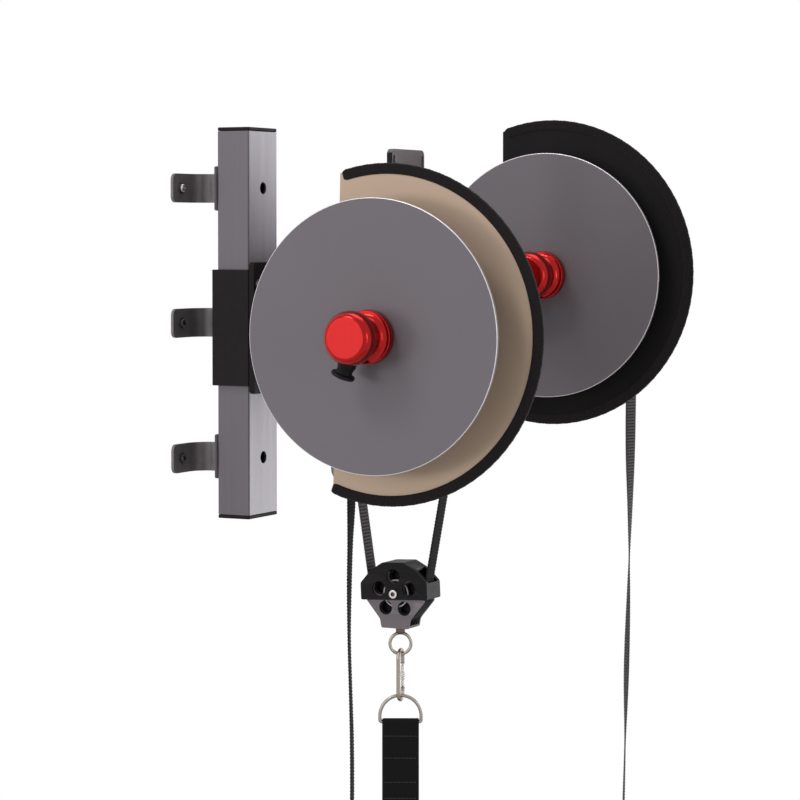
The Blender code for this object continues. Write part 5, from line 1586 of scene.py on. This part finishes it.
@dataclass
class Flywheel:
    """One turning group: disc, knob, plunger, shaft and wound strap."""

    prefix: str
    turns: float
    end_turn: float
    coil_step: float
    radius: float = 0.175
    thickness: float = 0.005
    edge: float = 0.0009
    knob_length: float = 0.070
    knob: float = 0.0345
    knob_face: float = 0.0246
    knob_shoulder: float = 0.017
    knob_back: float = 0.008
    knob_neck: float = 0.0225
    knob_base: float = 0.0345
    knob_base_length: float = 0.014
    knob_flare: float = 0.012
    plunger_offset: float = 0.036
    plunger_tilt: float = 23.0
    shaft: float = 0.010
    hub: float = 0.025
    spool_core: float = 0.015
    spool_flange: float = 0.036
    spool_gap: float = 0.0285
    strap_pitch: float = 0.0025
    def __post_init__(self) -> None:
        """Find the disc's front face, the spool's middle and the shaft's axis."""
        self.disc_y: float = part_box(f"{self.prefix}_disc")[0].y
        self.head_y: float = middle_of(f"{self.prefix}_head_frame").y
        self.axis: Vector = middle_of(f"{self.prefix}_disc")

    def on_axis(self, y: float) -> Place:
        """The point of the shaft's axis at a place along Y."""
        return (self.axis.x, y, self.axis.z)

    def disc(self) -> None:
        """The painted disc with its bare machined rim."""
        hole = self.shaft + FIT
        profile = [(hole, 0.0), (self.radius, 0.0), (self.radius, -self.thickness), (hole, -self.thickness)]
        shape = turned(eased_profile(profile, self.edge, 4), 256).placed(self.on_axis(self.disc_y), STAND_XZ)
        made = rigid(f"{self.prefix}_flywheel_disc", shape, DISC_PAINT, [f"{self.prefix}_disc"])
        limit = self.radius - 0.8 * self.edge
        axis = self.axis
        accented(made, RIM_METAL, lambda place: hypot(place.x - axis.x, place.z - axis.z) > limit)

    def knob_profile(self) -> list[Flat]:
        """The knob's outline from its face back to the disc."""
        shoulder = self.knob_length - self.knob_shoulder
        points = [(0.0, self.knob_length), (self.knob_face * 0.93, self.knob_length)]
        for step in range(15):
            turn = pi / 2 * step / 14
            radius = self.knob_face + (self.knob - self.knob_face) * sin(turn)
            points.append((radius, shoulder + self.knob_shoulder * cos(turn)))
        for step in range(1, 11):
            turn = pi / 2 * step / 10
            radius = self.knob_neck + (self.knob - self.knob_neck) * cos(turn)
            points.append((radius, shoulder - self.knob_back * sin(turn)))
        top = self.knob_base_length + self.knob_flare
        foot = self.knob_base
        reach = foot - 0.0015 - self.knob_neck
        for step in range(13):
            turn = pi / 2 * step / 12
            points.append((foot - 0.0015 - reach * cos(turn), top - self.knob_flare * sin(turn)))
        points += [(foot - 0.0004, self.knob_base_length - 0.0008), (foot, self.knob_base_length - 0.0025)]
        return points + [(foot, 0.003), (foot - 0.0008, 0.0009), (foot - 0.002, 0.0), (0.0, 0.0)]

    def knob_piece(self) -> None:
        """The red knob, with the rings of its finish about its own axis."""
        middle = self.on_axis(self.disc_y)
        finish = replace(RED_METAL, name=f"Red {self.prefix} knob", middle=middle)
        shape = turned(self.knob_profile(), 160).placed(self.on_axis(self.disc_y - FIT), STAND_XZ)
        rigid(f"{self.prefix}_turning_knob", shape, finish, [f"{self.prefix}_knob"], angle=28)

    def plunger(self) -> None:
        """The sprung plunger in the knob's neck."""
        profile = [
            (0.0, 0.0550), (0.0100, 0.0548), (0.0143, 0.0536), (0.0155, 0.0516), (0.0152, 0.0498),
            (0.0145, 0.0490), (0.0112, 0.0482), (0.0104, 0.0465), (0.0102, 0.0440), (0.0108, 0.0410),
            (0.0118, 0.0385), (0.0120, 0.0360), (0.0118, 0.0341), (0.0075, 0.0340), (0.0075, 0.0228),
            (0.0050, 0.0228), (0.0050, 0.0150), (0.0, 0.0150),
        ]
        turn = (0.0, radians(180 + self.plunger_tilt), 0.0)
        shape = turned(profile, 64).placed(self.on_axis(self.disc_y - self.plunger_offset), turn)
        rigid(f"{self.prefix}_release_plunger", shape, BLOCK_PLASTIC, [f"{self.prefix}_plunger"], angle=38)

    def shaft_piece(self) -> None:
        """The shaft with its hub and spool."""
        low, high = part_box(f"{self.prefix}_shaft")
        guard_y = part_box(f"{self.prefix}_guard")[0].y
        hub_front = -(self.disc_y + self.thickness + FIT)
        hub_back = -(guard_y - 0.004)
        front = -(self.head_y - self.spool_gap / 2)
        back = -(self.head_y + self.spool_gap / 2)
        profile = [
            (0.0, -low.y), (self.shaft, -low.y), (self.shaft, hub_front), (self.hub, hub_front),
            (self.hub, hub_back), (self.shaft, hub_back), (self.shaft, front + 0.0025),
            (self.spool_flange, front + 0.0025), (self.spool_flange, front), (self.spool_core, front),
            (self.spool_core, back), (self.spool_flange, back), (self.spool_flange, back - 0.0025),
            (self.shaft, back - 0.0025), (self.shaft, -high.y), (0.0, -high.y),
        ]
        shape = turned(eased_profile(profile, 0.0007, 3), 80).placed(self.on_axis(0.0), STAND_XZ)
        rigid(f"{self.prefix}_spool_shaft", shape, SHAFT_STEEL, [f"{self.prefix}_shaft"])

    def coil(self) -> None:
        """The strap wound on the spool."""
        start = self.spool_core + FIT + STRAP_ROW / 2
        axis = self.axis
        rough = []
        steps = round(self.turns * 60)
        for step in range(steps + 1):
            share = step / steps
            radius = start + self.strap_pitch * self.turns * share
            turn = self.end_turn + 2 * pi * self.turns * (1 - share)
            rough.append(Vector((axis.x + radius * cos(turn), self.head_y, axis.z + radius * sin(turn))))
        shape = RIBBON.along(resampled(rough, self.coil_step), lambda index: Vector((0, 1, 0)))
        install(shape.object(f"{self.prefix}_wound_strap"), STRAP_CLOTH, [f"{self.prefix}_strap_coil"])

    def build(self) -> None:
        """Make the turning group."""
        self.disc()
        self.knob_piece()
        self.plunger()
        self.shaft_piece()
        self.coil()


@dataclass
class StrapLine:
    """The strap that runs from the spool, round the sheave and over the lock bar."""

    sheave_strap: float = 0.0393
    coil_radius: float = 0.0203

    def tangent(self, other: Flat, radius: float, crossing: bool) -> tuple[Flat, Flat, float]:
        """A straight run that touches the sheave's circle and another.

        Args:
            other: Middle of the other circle.
            radius: Radius of the other circle.
            crossing: Whether it changes side on the way.

        Returns:
            The lower point, the upper point and the turn of the sheave's radius there.
        """
        away = (other[0] - SHEAVE_X, other[1] - SHEAVE_Z)
        distance = hypot(*away)
        heading = atan2(away[1], away[0])
        if crossing:
            turn = heading + acos((self.sheave_strap + radius) / distance)
            radius = -radius
        else:
            turn = heading - acos((self.sheave_strap - radius) / distance)
        x = cos(turn)
        z = sin(turn)
        start = (SHEAVE_X + self.sheave_strap * x, SHEAVE_Z + self.sheave_strap * z)
        return start, (other[0] + radius * x, other[1] + radius * z), turn

    def right(self) -> tuple[Flat, Flat, float]:
        """The run between the sheave and the near spool, as tangent gives it."""
        shaft = middle_of("near_shaft")
        return self.tangent((shaft.x, shaft.z), self.coil_radius, False)

    def build(self) -> None:
        """Make the two straight runs at their rest length, and the two bends."""
        right = self.right()
        left = self.tangent((BAR_X, BAR_Z), BAR_STRAP, True)
        for name, node, (low, high, _), cloth in (
            ("right_strap", "strap_run_right", right, SHADED_CLOTH),
            ("left_strap", "strap_run_left", left, STRAP_CLOTH),
        ):
            bottom = Vector((low[0], 0.0, low[1]))
            top = Vector((high[0], 0.0, high[1]))
            path = resampled([top, bottom], RIBBON.step())
            made = RIBBON.along(path, lambda index: Vector((0, 1, 0))).object(name)
            made.data.materials.append(cloth.material())
            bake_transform(made)
            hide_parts(node)
            LOG.info("%s: %.3f m long at rest", name, (top - bottom).length)
        start = left[2] * 180 / pi
        end = right[2] * 180 / pi + 360
        for name, node, bend in (
            ("sheave_strap", "strap_bend", (SHEAVE_X, SHEAVE_Z, self.sheave_strap, start, end)),
            ("folded_strap", "strap_fold", (BAR_X, BAR_Z, BAR_STRAP, start - 180, 180)),
        ):
            path = resampled([Vector((x, 0.0, z)) for x, z in arc(*bend, 90)], RIBBON.step())
            install(RIBBON.along(path, lambda index: Vector((0, 1, 0))).object(name), SHADED_CLOTH, [node])


@dataclass
class StrapLock:
    """The hanger under the arm, its bar and the cam lever."""

    bar: float = 0.00425
    width: float = 0.034
    sheet: float = 0.004
    length: float = 0.040
    cam_radius: float = 0.0090
    cam_offset: float = 0.0025
    cam_pin: float = 0.003
    cam_width: float = 0.024
    lever: float = 0.022
    def __post_init__(self) -> None:
        """Find where the cam's pin stands, so that the cam's face meets the strap."""
        pinch = BAR_X - BAR_STRAP - STRAP_ROW / 2 - FIT
        self.pin: Place = (pinch - self.cam_radius - self.cam_offset, 0.0, BAR_Z)
    def hanger(self) -> None:
        """The U-shaped hanger with its window."""
        low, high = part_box("lock_hanger")
        height = high.z - low.z
        middle = (low + high) / 2
        half = self.length / 2
        outline = [(half, height / 2), (-half, height / 2), *arc(0, -height / 2 + half, half, 180, 360, 24)]
        full = high.y - low.y
        shape = plate([outline], full, 0.0, 1).placed(tuple(middle), STAND_XZ)
        inside = block((2 * self.length, self.width, height), (middle.x, 0, middle.z - self.sheet))
        shape = shape.combined(inside)
        window = plate([rounded_rectangle(0.016, height / 2, 0.006, 6)], 2 * full, 0.0, 1)
        shape = shape.combined(window.placed((middle.x, 0, high.z - height * 0.38), STAND_XZ))
        shape = shape.combined(rod(self.bar + FIT, 2 * full, BAR, ALONG_Y))
        shape = shape.combined(rod(self.cam_pin + 0.0005, 2 * full, self.pin, ALONG_Y))
        softened(rigid("strap_hanger", shape, FRAME_PAINT, ["lock_hanger"]), 0.0006)
        reach = size_of("lock_bar").y / 2
        profile = [(0.0, reach), (self.bar, reach), (self.bar, -reach), (0.0, -reach)]
        bar = turned(eased_profile(profile, 0.0008), 48).placed(BAR, ALONG_Y)
        rigid("strap_bar", bar, STEEL, ["lock_bar"])
    def cam(self) -> None:
        """The cam lever with its grooved face."""
        radius = self.cam_radius
        outline = []
        for step in range(41):
            turn = radians(-90 + 180 * step / 40)
            reach = radius - (0.0004 if step % 4 in (1, 2) and 6 < step < 34 else 0.0)
            outline.append((self.cam_offset + reach * cos(turn), reach * sin(turn)))
        outline += [(-radius * 0.55, radius), (-radius * 0.55 - 0.001, -self.lever * 0.2)]
        outline += arc(-radius + 0.003, -self.lever + 0.003, 0.003, 180, 360, 8)
        outline += [(self.cam_offset - 0.004, -radius)]
        shape = plate([outline], self.cam_width, 0.0008, 3).placed(self.pin, STAND_XZ)
        length = self.width + 2 * self.sheet + 0.002
        shape = shape + rod(self.cam_pin, length, self.pin, ALONG_Y, 32)
        rigid("pinch_lever", shape, CAP_PLASTIC, ["cam_lever"])

    def build(self) -> None:
        """Make the lock."""
        self.hanger()
        self.cam()


@dataclass
class PulleyBlock:
    """The hanging block with its cover, frame, sheave and axle."""

    depth: float = 0.041
    cover_sheet: float = 0.003
    cover_tilt: float = 2.6
    frame_sheet: float = 0.003
    frame_web: float = 0.004
    hole: float = 0.0098
    hole_circle: float = 0.0238
    sheave: float = 0.038
    sheave_width: float = 0.027
    sheave_hole: float = 0.0075
    pocket: float = 0.0080
    axle: float = 0.005
    axle_head: float = 0.0058
    axle_head_length: float = 0.003
    foot: float = -0.0470

    def rounded_loop(self, half: list[Flat], radius: float) -> list[Flat]:
        """A symmetric closed outline from its right side, with small round corners."""
        return filleted_loop(half + [(-x, y) for x, y in half[::-1]], radius, 5)

    def pierced(self, shape: Shape, radius: float, length: float, height: float = 0.0) -> Shape:
        """Cut five round windows or pockets.

        Args:
            shape: The solid about the origin.
            radius: Radius of each cut.
            length: Its length.
            height: Height of its middle.

        Returns:
            The pierced solid.
        """
        for number in range(5):
            turn = pi / 2 + 2 * pi * number / 5
            spot = (self.hole_circle * cos(turn), self.hole_circle * sin(turn), height)
            shape = shape.combined(rod(radius, length, spot, LIE_FLAT, 56))
        return shape

    def bored(self, shape: Shape, gap: float) -> Shape:
        """Cut the axle's hole through a solid, with a gap round the axle."""
        return shape.combined(rod(self.axle + gap, 4 * self.depth, (0, 0, 0), LIE_FLAT))

    def cover(self) -> None:
        """The black cover: two shaped plates joined by its bent top."""
        half = [(0.0155, 0.0427), (0.0335, 0.0324), (0.050, 0.0150), (0.050, -0.0080)]
        inner_half = [(x * 0.94, z - self.cover_sheet if z > 0 else z - 0.010) for x, z in half]
        inner_depth = self.depth - 2 * self.cover_sheet
        inside = plate([self.rounded_loop(inner_half, 0.0016)], inner_depth, 0.0, 1)
        shape = plate([self.rounded_loop(half, 0.0022)], self.depth, 0.0, 1).combined(inside)
        shape = self.pierced(self.bored(shape, FIT), self.hole, 2 * self.depth)
        shape = shape.placed((0, 0, 0), (0.0, 0.0, radians(self.cover_tilt))).placed(SHEAVE, STAND_XZ)
        window = plate([rounded_rectangle(0.020, 0.029, 0.002, 4)], 0.040, 0.0, 1)
        for side in (-1, 1):
            shape = shape.combined(window.placed((SHEAVE_X + side * 0.039, 0.0, SHEAVE_Z + 0.0324)))
        softened(rigid("block_cover", shape, BLOCK_PLASTIC, ["pulley_cover"]), 0.0006)

    def frame_piece(self) -> None:
        """The grey U-shaped frame."""
        half = [(0.018, 0.030), (0.030, 0.018), (0.0440, -0.0090), (0.0300, -0.0260), (0.0225, -0.0350)]
        half += [(0.0205, self.foot)]
        full = self.depth - 2 * self.cover_sheet - 2 * FIT
        outline = self.rounded_loop(half, 0.0030)
        shape = self.pierced(self.bored(plate([outline], full, 0.0, 1), FIT), self.hole, 2 * full)
        shape = shape.placed(SHEAVE, STAND_XZ)
        gap = full - 2 * self.frame_sheet
        top = self.foot + self.frame_web
        shape = shape.combined(block((0.2, gap, 0.1), (SHEAVE_X, 0, SHEAVE_Z + top + 0.05)))
        hole = rod(0.0043, 0.030, (SHEAVE_X, 0, SHEAVE_Z + self.foot), LIE_FLAT, 40)
        softened(rigid("block_frame", shape.combined(hole), BLOCK_METAL, ["pulley_frame"]), 0.0006)

    def wheel(self) -> None:
        """The sheave with its rims, windows and bright bearing."""
        rim = self.sheave_width / 2
        profile = [(0.0, rim), (self.sheave, rim), (self.sheave, -rim), (0.0, -rim)]
        shape = turned(eased_profile(profile, 0.0010, 4), 144)
        shape = self.bored(shape, 0.0005)
        for side in (-1, 1):
            shape = self.pierced(shape, self.sheave_hole, 2 * self.pocket, side * rim)
        rigid("sheave_wheel", shape.placed(SHEAVE, STAND_XZ), SHEAVE_PLASTIC, ["pulley_sheave"])
        rings = Shape()
        for side in (-1, 1):
            height = side * self.sheave_width / 2
            for inner, outer, half in ((0.0060, 0.0088, 0.0004), (0.0172, 0.0190, 0.0012)):
                ring = [(inner, -half), (outer, -half), (outer, half), (inner, half)]
                made = turned(eased_profile(ring, 0.0002, 2), 72)
                rings = rings + made.placed((0, 0, height - side * half / 2))
        rigid("sheave_bearing", rings.placed(SHEAVE, STAND_XZ), HUB_METAL, (), "sheave")

    def axle_piece(self) -> None:
        """The axle with its socket head."""
        outside = self.depth / 2 + FIT
        tip = outside + self.axle_head_length
        profile = [
            (0.0, tip), (self.axle_head, tip), (self.axle_head, outside), (self.axle, outside),
            (self.axle, -outside), (self.axle_head, -outside), (self.axle_head, -tip), (0.0, -tip),
        ]
        shape = turned(eased_profile(profile, 0.0006, 4), 64)
        socket = plate([circle(0.0034, 6)], 0.0045, 0.0, 1).placed((0, 0, tip))
        shape = shape.combined(socket).placed(SHEAVE, STAND_XZ)
        made = rigid("block_axle", shape, BRIGHT_SCREW, ["pulley_axle"])
        # The faces in the socket take the dark screw finish: painted shade in the recess
        inside = 0.0036
        accented(made, DARK_SCREW, lambda spot: hypot(spot.x - SHEAVE_X, spot.z - SHEAVE_Z) < inside)

    def build(self) -> None:
        """Make the block."""
        self.cover()
        self.frame_piece()
        self.wheel()
        self.axle_piece()


@dataclass
class Hardware:
    """Swivel eye, snap hook, gate and ring, turned to face the picture."""

    turn: float = 26.6
    hook_turn: float = 11.0
    block_foot: float = -0.4098
    stub: float = 0.0064
    eye_z: float = -0.4323
    eye_radius: float = 0.01425
    eye_wire: float = 0.0045
    hook_wire: float = 0.0056
    hook_half: float = 0.0110
    hook_length: float = 0.0674
    gate_length: float = 0.030
    gate_wire: float = 0.0048
    ring_wire: float = 0.0047
    ring_half: float = 0.0280
    ring_height: float = 0.0360
    ring_corner: float = 0.0028

    def facing(self, a: float, z: float) -> Vector:
        """A point in the upright plane that faces the picture."""
        turn = radians(self.turn)
        return Vector((SHEAVE_X + a * cos(turn), a * sin(turn), z))

    def across(self, b: float, z: float, degrees: float | None = None) -> Vector:
        """A point in the upright plane square to that one, or to one turned by other degrees."""
        turn = radians(self.turn if degrees is None else degrees)
        return Vector((SHEAVE_X - b * sin(turn), b * cos(turn), z))

    def hook_ends(self) -> tuple[float, float]:
        """Heights of the hook wire's top and bottom middle lines."""
        top = self.eye_z - self.eye_radius + self.eye_wire / 2 + self.hook_wire / 2 + FIT
        return top, top - self.hook_length

    def ring_bottom(self) -> float:
        """Height of the ring's straight bar."""
        bottom = self.hook_ends()[1]
        return bottom + self.hook_wire / 2 + self.ring_wire / 2 + FIT - self.ring_height

    def eye(self) -> None:
        """The eye with its stub in the block's foot."""
        path = [self.facing(a, z) for a, z in circle(self.eye_radius, 72, 0.0, self.eye_z)]
        shape = wire(path, self.eye_wire, True)
        top = self.block_foot - FIT
        low = self.eye_z + self.eye_radius
        profile = [(0.0, top), (0.0045, top), (self.stub, top - 0.0012), (self.stub, low + 0.0015)]
        profile += [(0.0040, low - 0.0015), (0.0, low - 0.0015)]
        collar = turned(eased_profile(profile, 0.0005), 48).placed((SHEAVE_X, 0, 0))
        pin = rod(0.004, 0.0072, (SHEAVE_X, 0, top + 0.0024), LIE_FLAT)
        made = rigid("eye", shape + collar + pin, STEEL, ["swivel_eye"])
        accented(made, COLLAR_METAL, lambda place: place.z > low - 0.0002)

    def hook(self) -> None:
        """The hook's bent wire."""
        top, bottom = self.hook_ends()
        low = bottom + self.hook_half
        high = top - self.hook_half
        seat = low + self.gate_length * 0.18
        points = [(self.hook_half, seat)]
        points += arc(0, low, self.hook_half, 0, -180, 36)
        points += arc(0, high, self.hook_half, 180, 0, 36)
        points.append((self.hook_half, seat + self.gate_length))
        path = resampled([self.across(b, z, self.hook_turn) for b, z in points], 0.0008)
        rigid("hook_wire", wire(path, self.hook_wire, sides=28), STEEL, ["snap_hook"])
        self.gate(seat)

    def gate(self, seat: float) -> None:
        """The sprung gate with its finger ridges.

        Args:
            seat: Height of the gate's lower end.
        """
        low = seat + FIT
        high = seat + self.gate_length - FIT
        steps = 120
        radius = self.gate_wire / 2
        levels = [low + (high - low) * step / steps for step in range(steps + 1)]
        path = [self.across(self.hook_half, level, self.hook_turn) for level in levels]

        def section(index: int) -> list[Flat]:
            """The gate's round section, with a ridged thumb piece and round at its tip.

            Args:
                index: The step's number.

            Returns:
                The outline.
            """
            share = index / steps
            thumb = sin(pi * min(max((share - 0.30) / 0.45, 0.0), 1.0)) ** 0.5
            ridge = 1.0 + thumb * (0.28 + 0.09 * cos(index * 1.05))
            end = min(1.0, max(0.15, (1 - share) * steps * 0.35))
            start = min(1.0, 0.75 + share * 10)
            return circle(radius * ridge * end * start, 24)

        rigid("gate", swept(path, section), BRIGHT_SCREW, ["hook_gate"], angle=60)

    def ring(self) -> None:
        """The half-round ring."""
        low = self.ring_bottom()
        top = low + self.ring_height
        half = self.ring_half
        corner = self.ring_corner
        points = arc(0, top - half, half, 0, 180, 60)
        points += arc(-half + corner, low + corner, corner, 180, 270, 8)
        points += arc(half - corner, low + corner, corner, 270, 360, 8)
        path = resampled([self.facing(a, z) for a, z in [*points, points[0]]], 0.0012)[:-1]
        rigid("half_ring", wire(path, self.ring_wire, True, 24), STEEL, ["d_ring"])

    def build(self) -> None:
        """Make the hanging hardware."""
        self.eye()
        self.hook()
        self.ring()


@dataclass
class HandLoop:
    """The webbing loop sewn round the ring's bar, and its padded sleeve."""

    hardware: Hardware
    width: float = 0.050
    webbing: float = 0.0025
    neck: float = 0.105
    height: float = 0.150
    half_width: float = 0.072
    corner: float = 0.014
    grip_length: float = 0.116
    grip_width: float = 0.062
    grip_thickness: float = 0.024
    def __post_init__(self) -> None:
        """Find the loop's wide direction and the direction across it."""
        hardware = self.hardware
        self.wide: Vector = hardware.facing(1.0, 0.0) - hardware.facing(0.0, 0.0)
        self.along: Vector = hardware.across(1.0, 0.0) - hardware.across(0.0, 0.0)

    def levels(self) -> tuple[float, float, float, float]:
        """Heights of the bar, the neck's top, the neck's bottom and the loop's bottom."""
        bar = self.hardware.ring_bottom()
        top = bar - self.hardware.ring_wire / 2 - FIT - self.webbing
        bottom = top - self.neck
        return bar, top, bottom, bottom - self.height

    def line(self) -> list[Vector]:
        """The closed middle line of the webbing."""
        bar, top, bottom, low = self.levels()
        eye = self.hardware.ring_wire / 2 + FIT + self.webbing / 2
        half = self.webbing / 2 + 0.00005
        slope = atan2(self.half_width, self.height) * 180 / pi
        right = [(half, top - 0.004), (half, bottom + 0.002), (half + 0.0012, bottom - 0.006)]
        inset = self.webbing / 2
        reach = self.half_width - self.corner
        corner = arc(reach, low + self.corner, self.corner - inset, slope * 0.35, -90, 20)
        side = right + corner
        over = arc(0, bar, eye, 220, -40, 40)
        flat = over + side + [(-a, z) for a, z in side[::-1]]
        rough = [self.hardware.across(a, z) for a, z in flat]
        return resampled([*rough, rough[0]], 0.0016)[:-1]

    def section(self, index: int) -> list[Flat]:
        """The webbing's flat section with thicker selvedges.

        Args:
            index: Which point along the line.

        Returns:
            The outline.
        """
        half = self.webbing / 2 * 0.94
        rib = 0.00012 * (1 if index % 2 else -1)
        reach = self.width / 2
        thick = half + rib
        top = [(reach - 0.0022, thick)]
        top += [(reach * share, thick * 0.95) for share in (0.86, 0.6, 0.3, 0.0, -0.3, -0.6, -0.86)]
        top += [(-reach + 0.0022, thick), (-reach + 0.0005, thick * 0.7), (-reach, 0.0)]
        return top + [(-a, -b) for a, b in top]

    def loop(self) -> None:
        """The webbing loop."""
        made = swept(self.line(), self.section, lambda index: self.wide, True).object("hand_strap")
        install(made, HANDLE_CLOTH, ["hand_loop"])

    def stitches(self) -> None:
        """The sewn rows that close the neck, on both its faces."""
        _, top, bottom, _ = self.levels()
        heights = (top - 0.014, top - 0.044, bottom + 0.028, bottom + 0.006)
        count = 12
        reach = self.width / 2 - 0.003
        shape = Shape()
        for height, side in ((height, side) for height in heights for side in (-1, 1)):
            level = side * (self.webbing + 0.0001)
            for number in range(count):
                start = -reach + 2 * reach * number / count + 0.0004
                end = start + 2 * reach / count - 0.0011
                points = []
                for share in (step / 6 for step in range(7)):
                    base = self.hardware.facing(start + (end - start) * share, height)
                    points.append(base + self.along * (level + side * (0.0003 * sin(pi * share))))
                shape = shape + wire(points, 0.0009, sides=8)
        rigid("neck_stitches", shape, STITCHES, (), "handle", 60)

    def grip(self) -> None:
        """The padded sleeve on the loop's lowest run."""
        _, _, _, low = self.levels()
        centre = low + self.webbing / 2
        steps = 64
        middle = self.hardware.across(0.0, centre)
        corner = self.grip_thickness / 2 - 0.0005
        outline = rounded_rectangle(self.grip_width, self.grip_thickness, corner, 12)
        shares = [2 * step / steps - 1 for step in range(steps + 1)]
        path = [middle + self.along * (share * self.grip_length / 2) for share in shares]

        def section(index: int) -> list[Flat]:
            """The pad's section, pulled in at its ends and at its sewn channels.

            Args:
                index: The step's number.

            Returns:
                The outline.
            """
            share = shares[index]
            drawn_in = (1 - abs(share) ** 14) ** 0.5 * 0.22 + 0.78 if abs(share) < 1 else 0.78
            channel = 1 - 0.07 * sum(2.718 ** (-(((share - seam) / 0.02) ** 2)) for seam in (-0.86, 0.86))
            wave = 1 + 0.010 * sin(index * 0.9) * sin(index * 0.37)
            scale = drawn_in * channel * wave
            puckered = []
            for a, b in outline:
                crown = 1 - 0.10 * (a / (self.grip_width / 2)) ** 2
                puckered.append((a * scale, b * scale * crown))
            return puckered

        made = swept(path, section, lambda index: self.wide).object("padded_sleeve")
        fine = made.modifiers.new("Finer", "SUBSURF")
        fine.levels = 1
        fine.render_levels = 1
        install(made, PAD_FOAM, ["grip_sleeve"])

    def build(self) -> None:
        """Make the hand loop."""
        self.loop()
        self.stitches()
        self.grip()


def main() -> None:
    """Dress the whole trainer."""
    logging.basicConfig(level=logging.INFO, format="%(name)s: %(message)s")
    Studio().build()
    for build_group in (build_grain, build_brushed, build_turned, build_webbing, build_wear):
        build_group()
    Straps().build()
    WallRail().build()
    Carriage().build()
    Framework().build()
    Guard("near", SAND_SHEET, 0.3865, -0.0055, -0.1980, 1.5).build()
    Guard("far", BLACK_SHEET, 0.3906, 0.0676, 0.3181, 0.0).build()
    line = StrapLine()
    Flywheel("near", 1.6, line.right()[2], RIBBON.step()).build()
    Flywheel("far", 6.2, pi / 2, 2 * RIBBON.step()).build()
    line.build()
    StrapLock().build()
    PulleyBlock().build()
    hardware = Hardware()
    hardware.build()
    HandLoop(hardware).build()


if __name__ == "__main__":
    main()
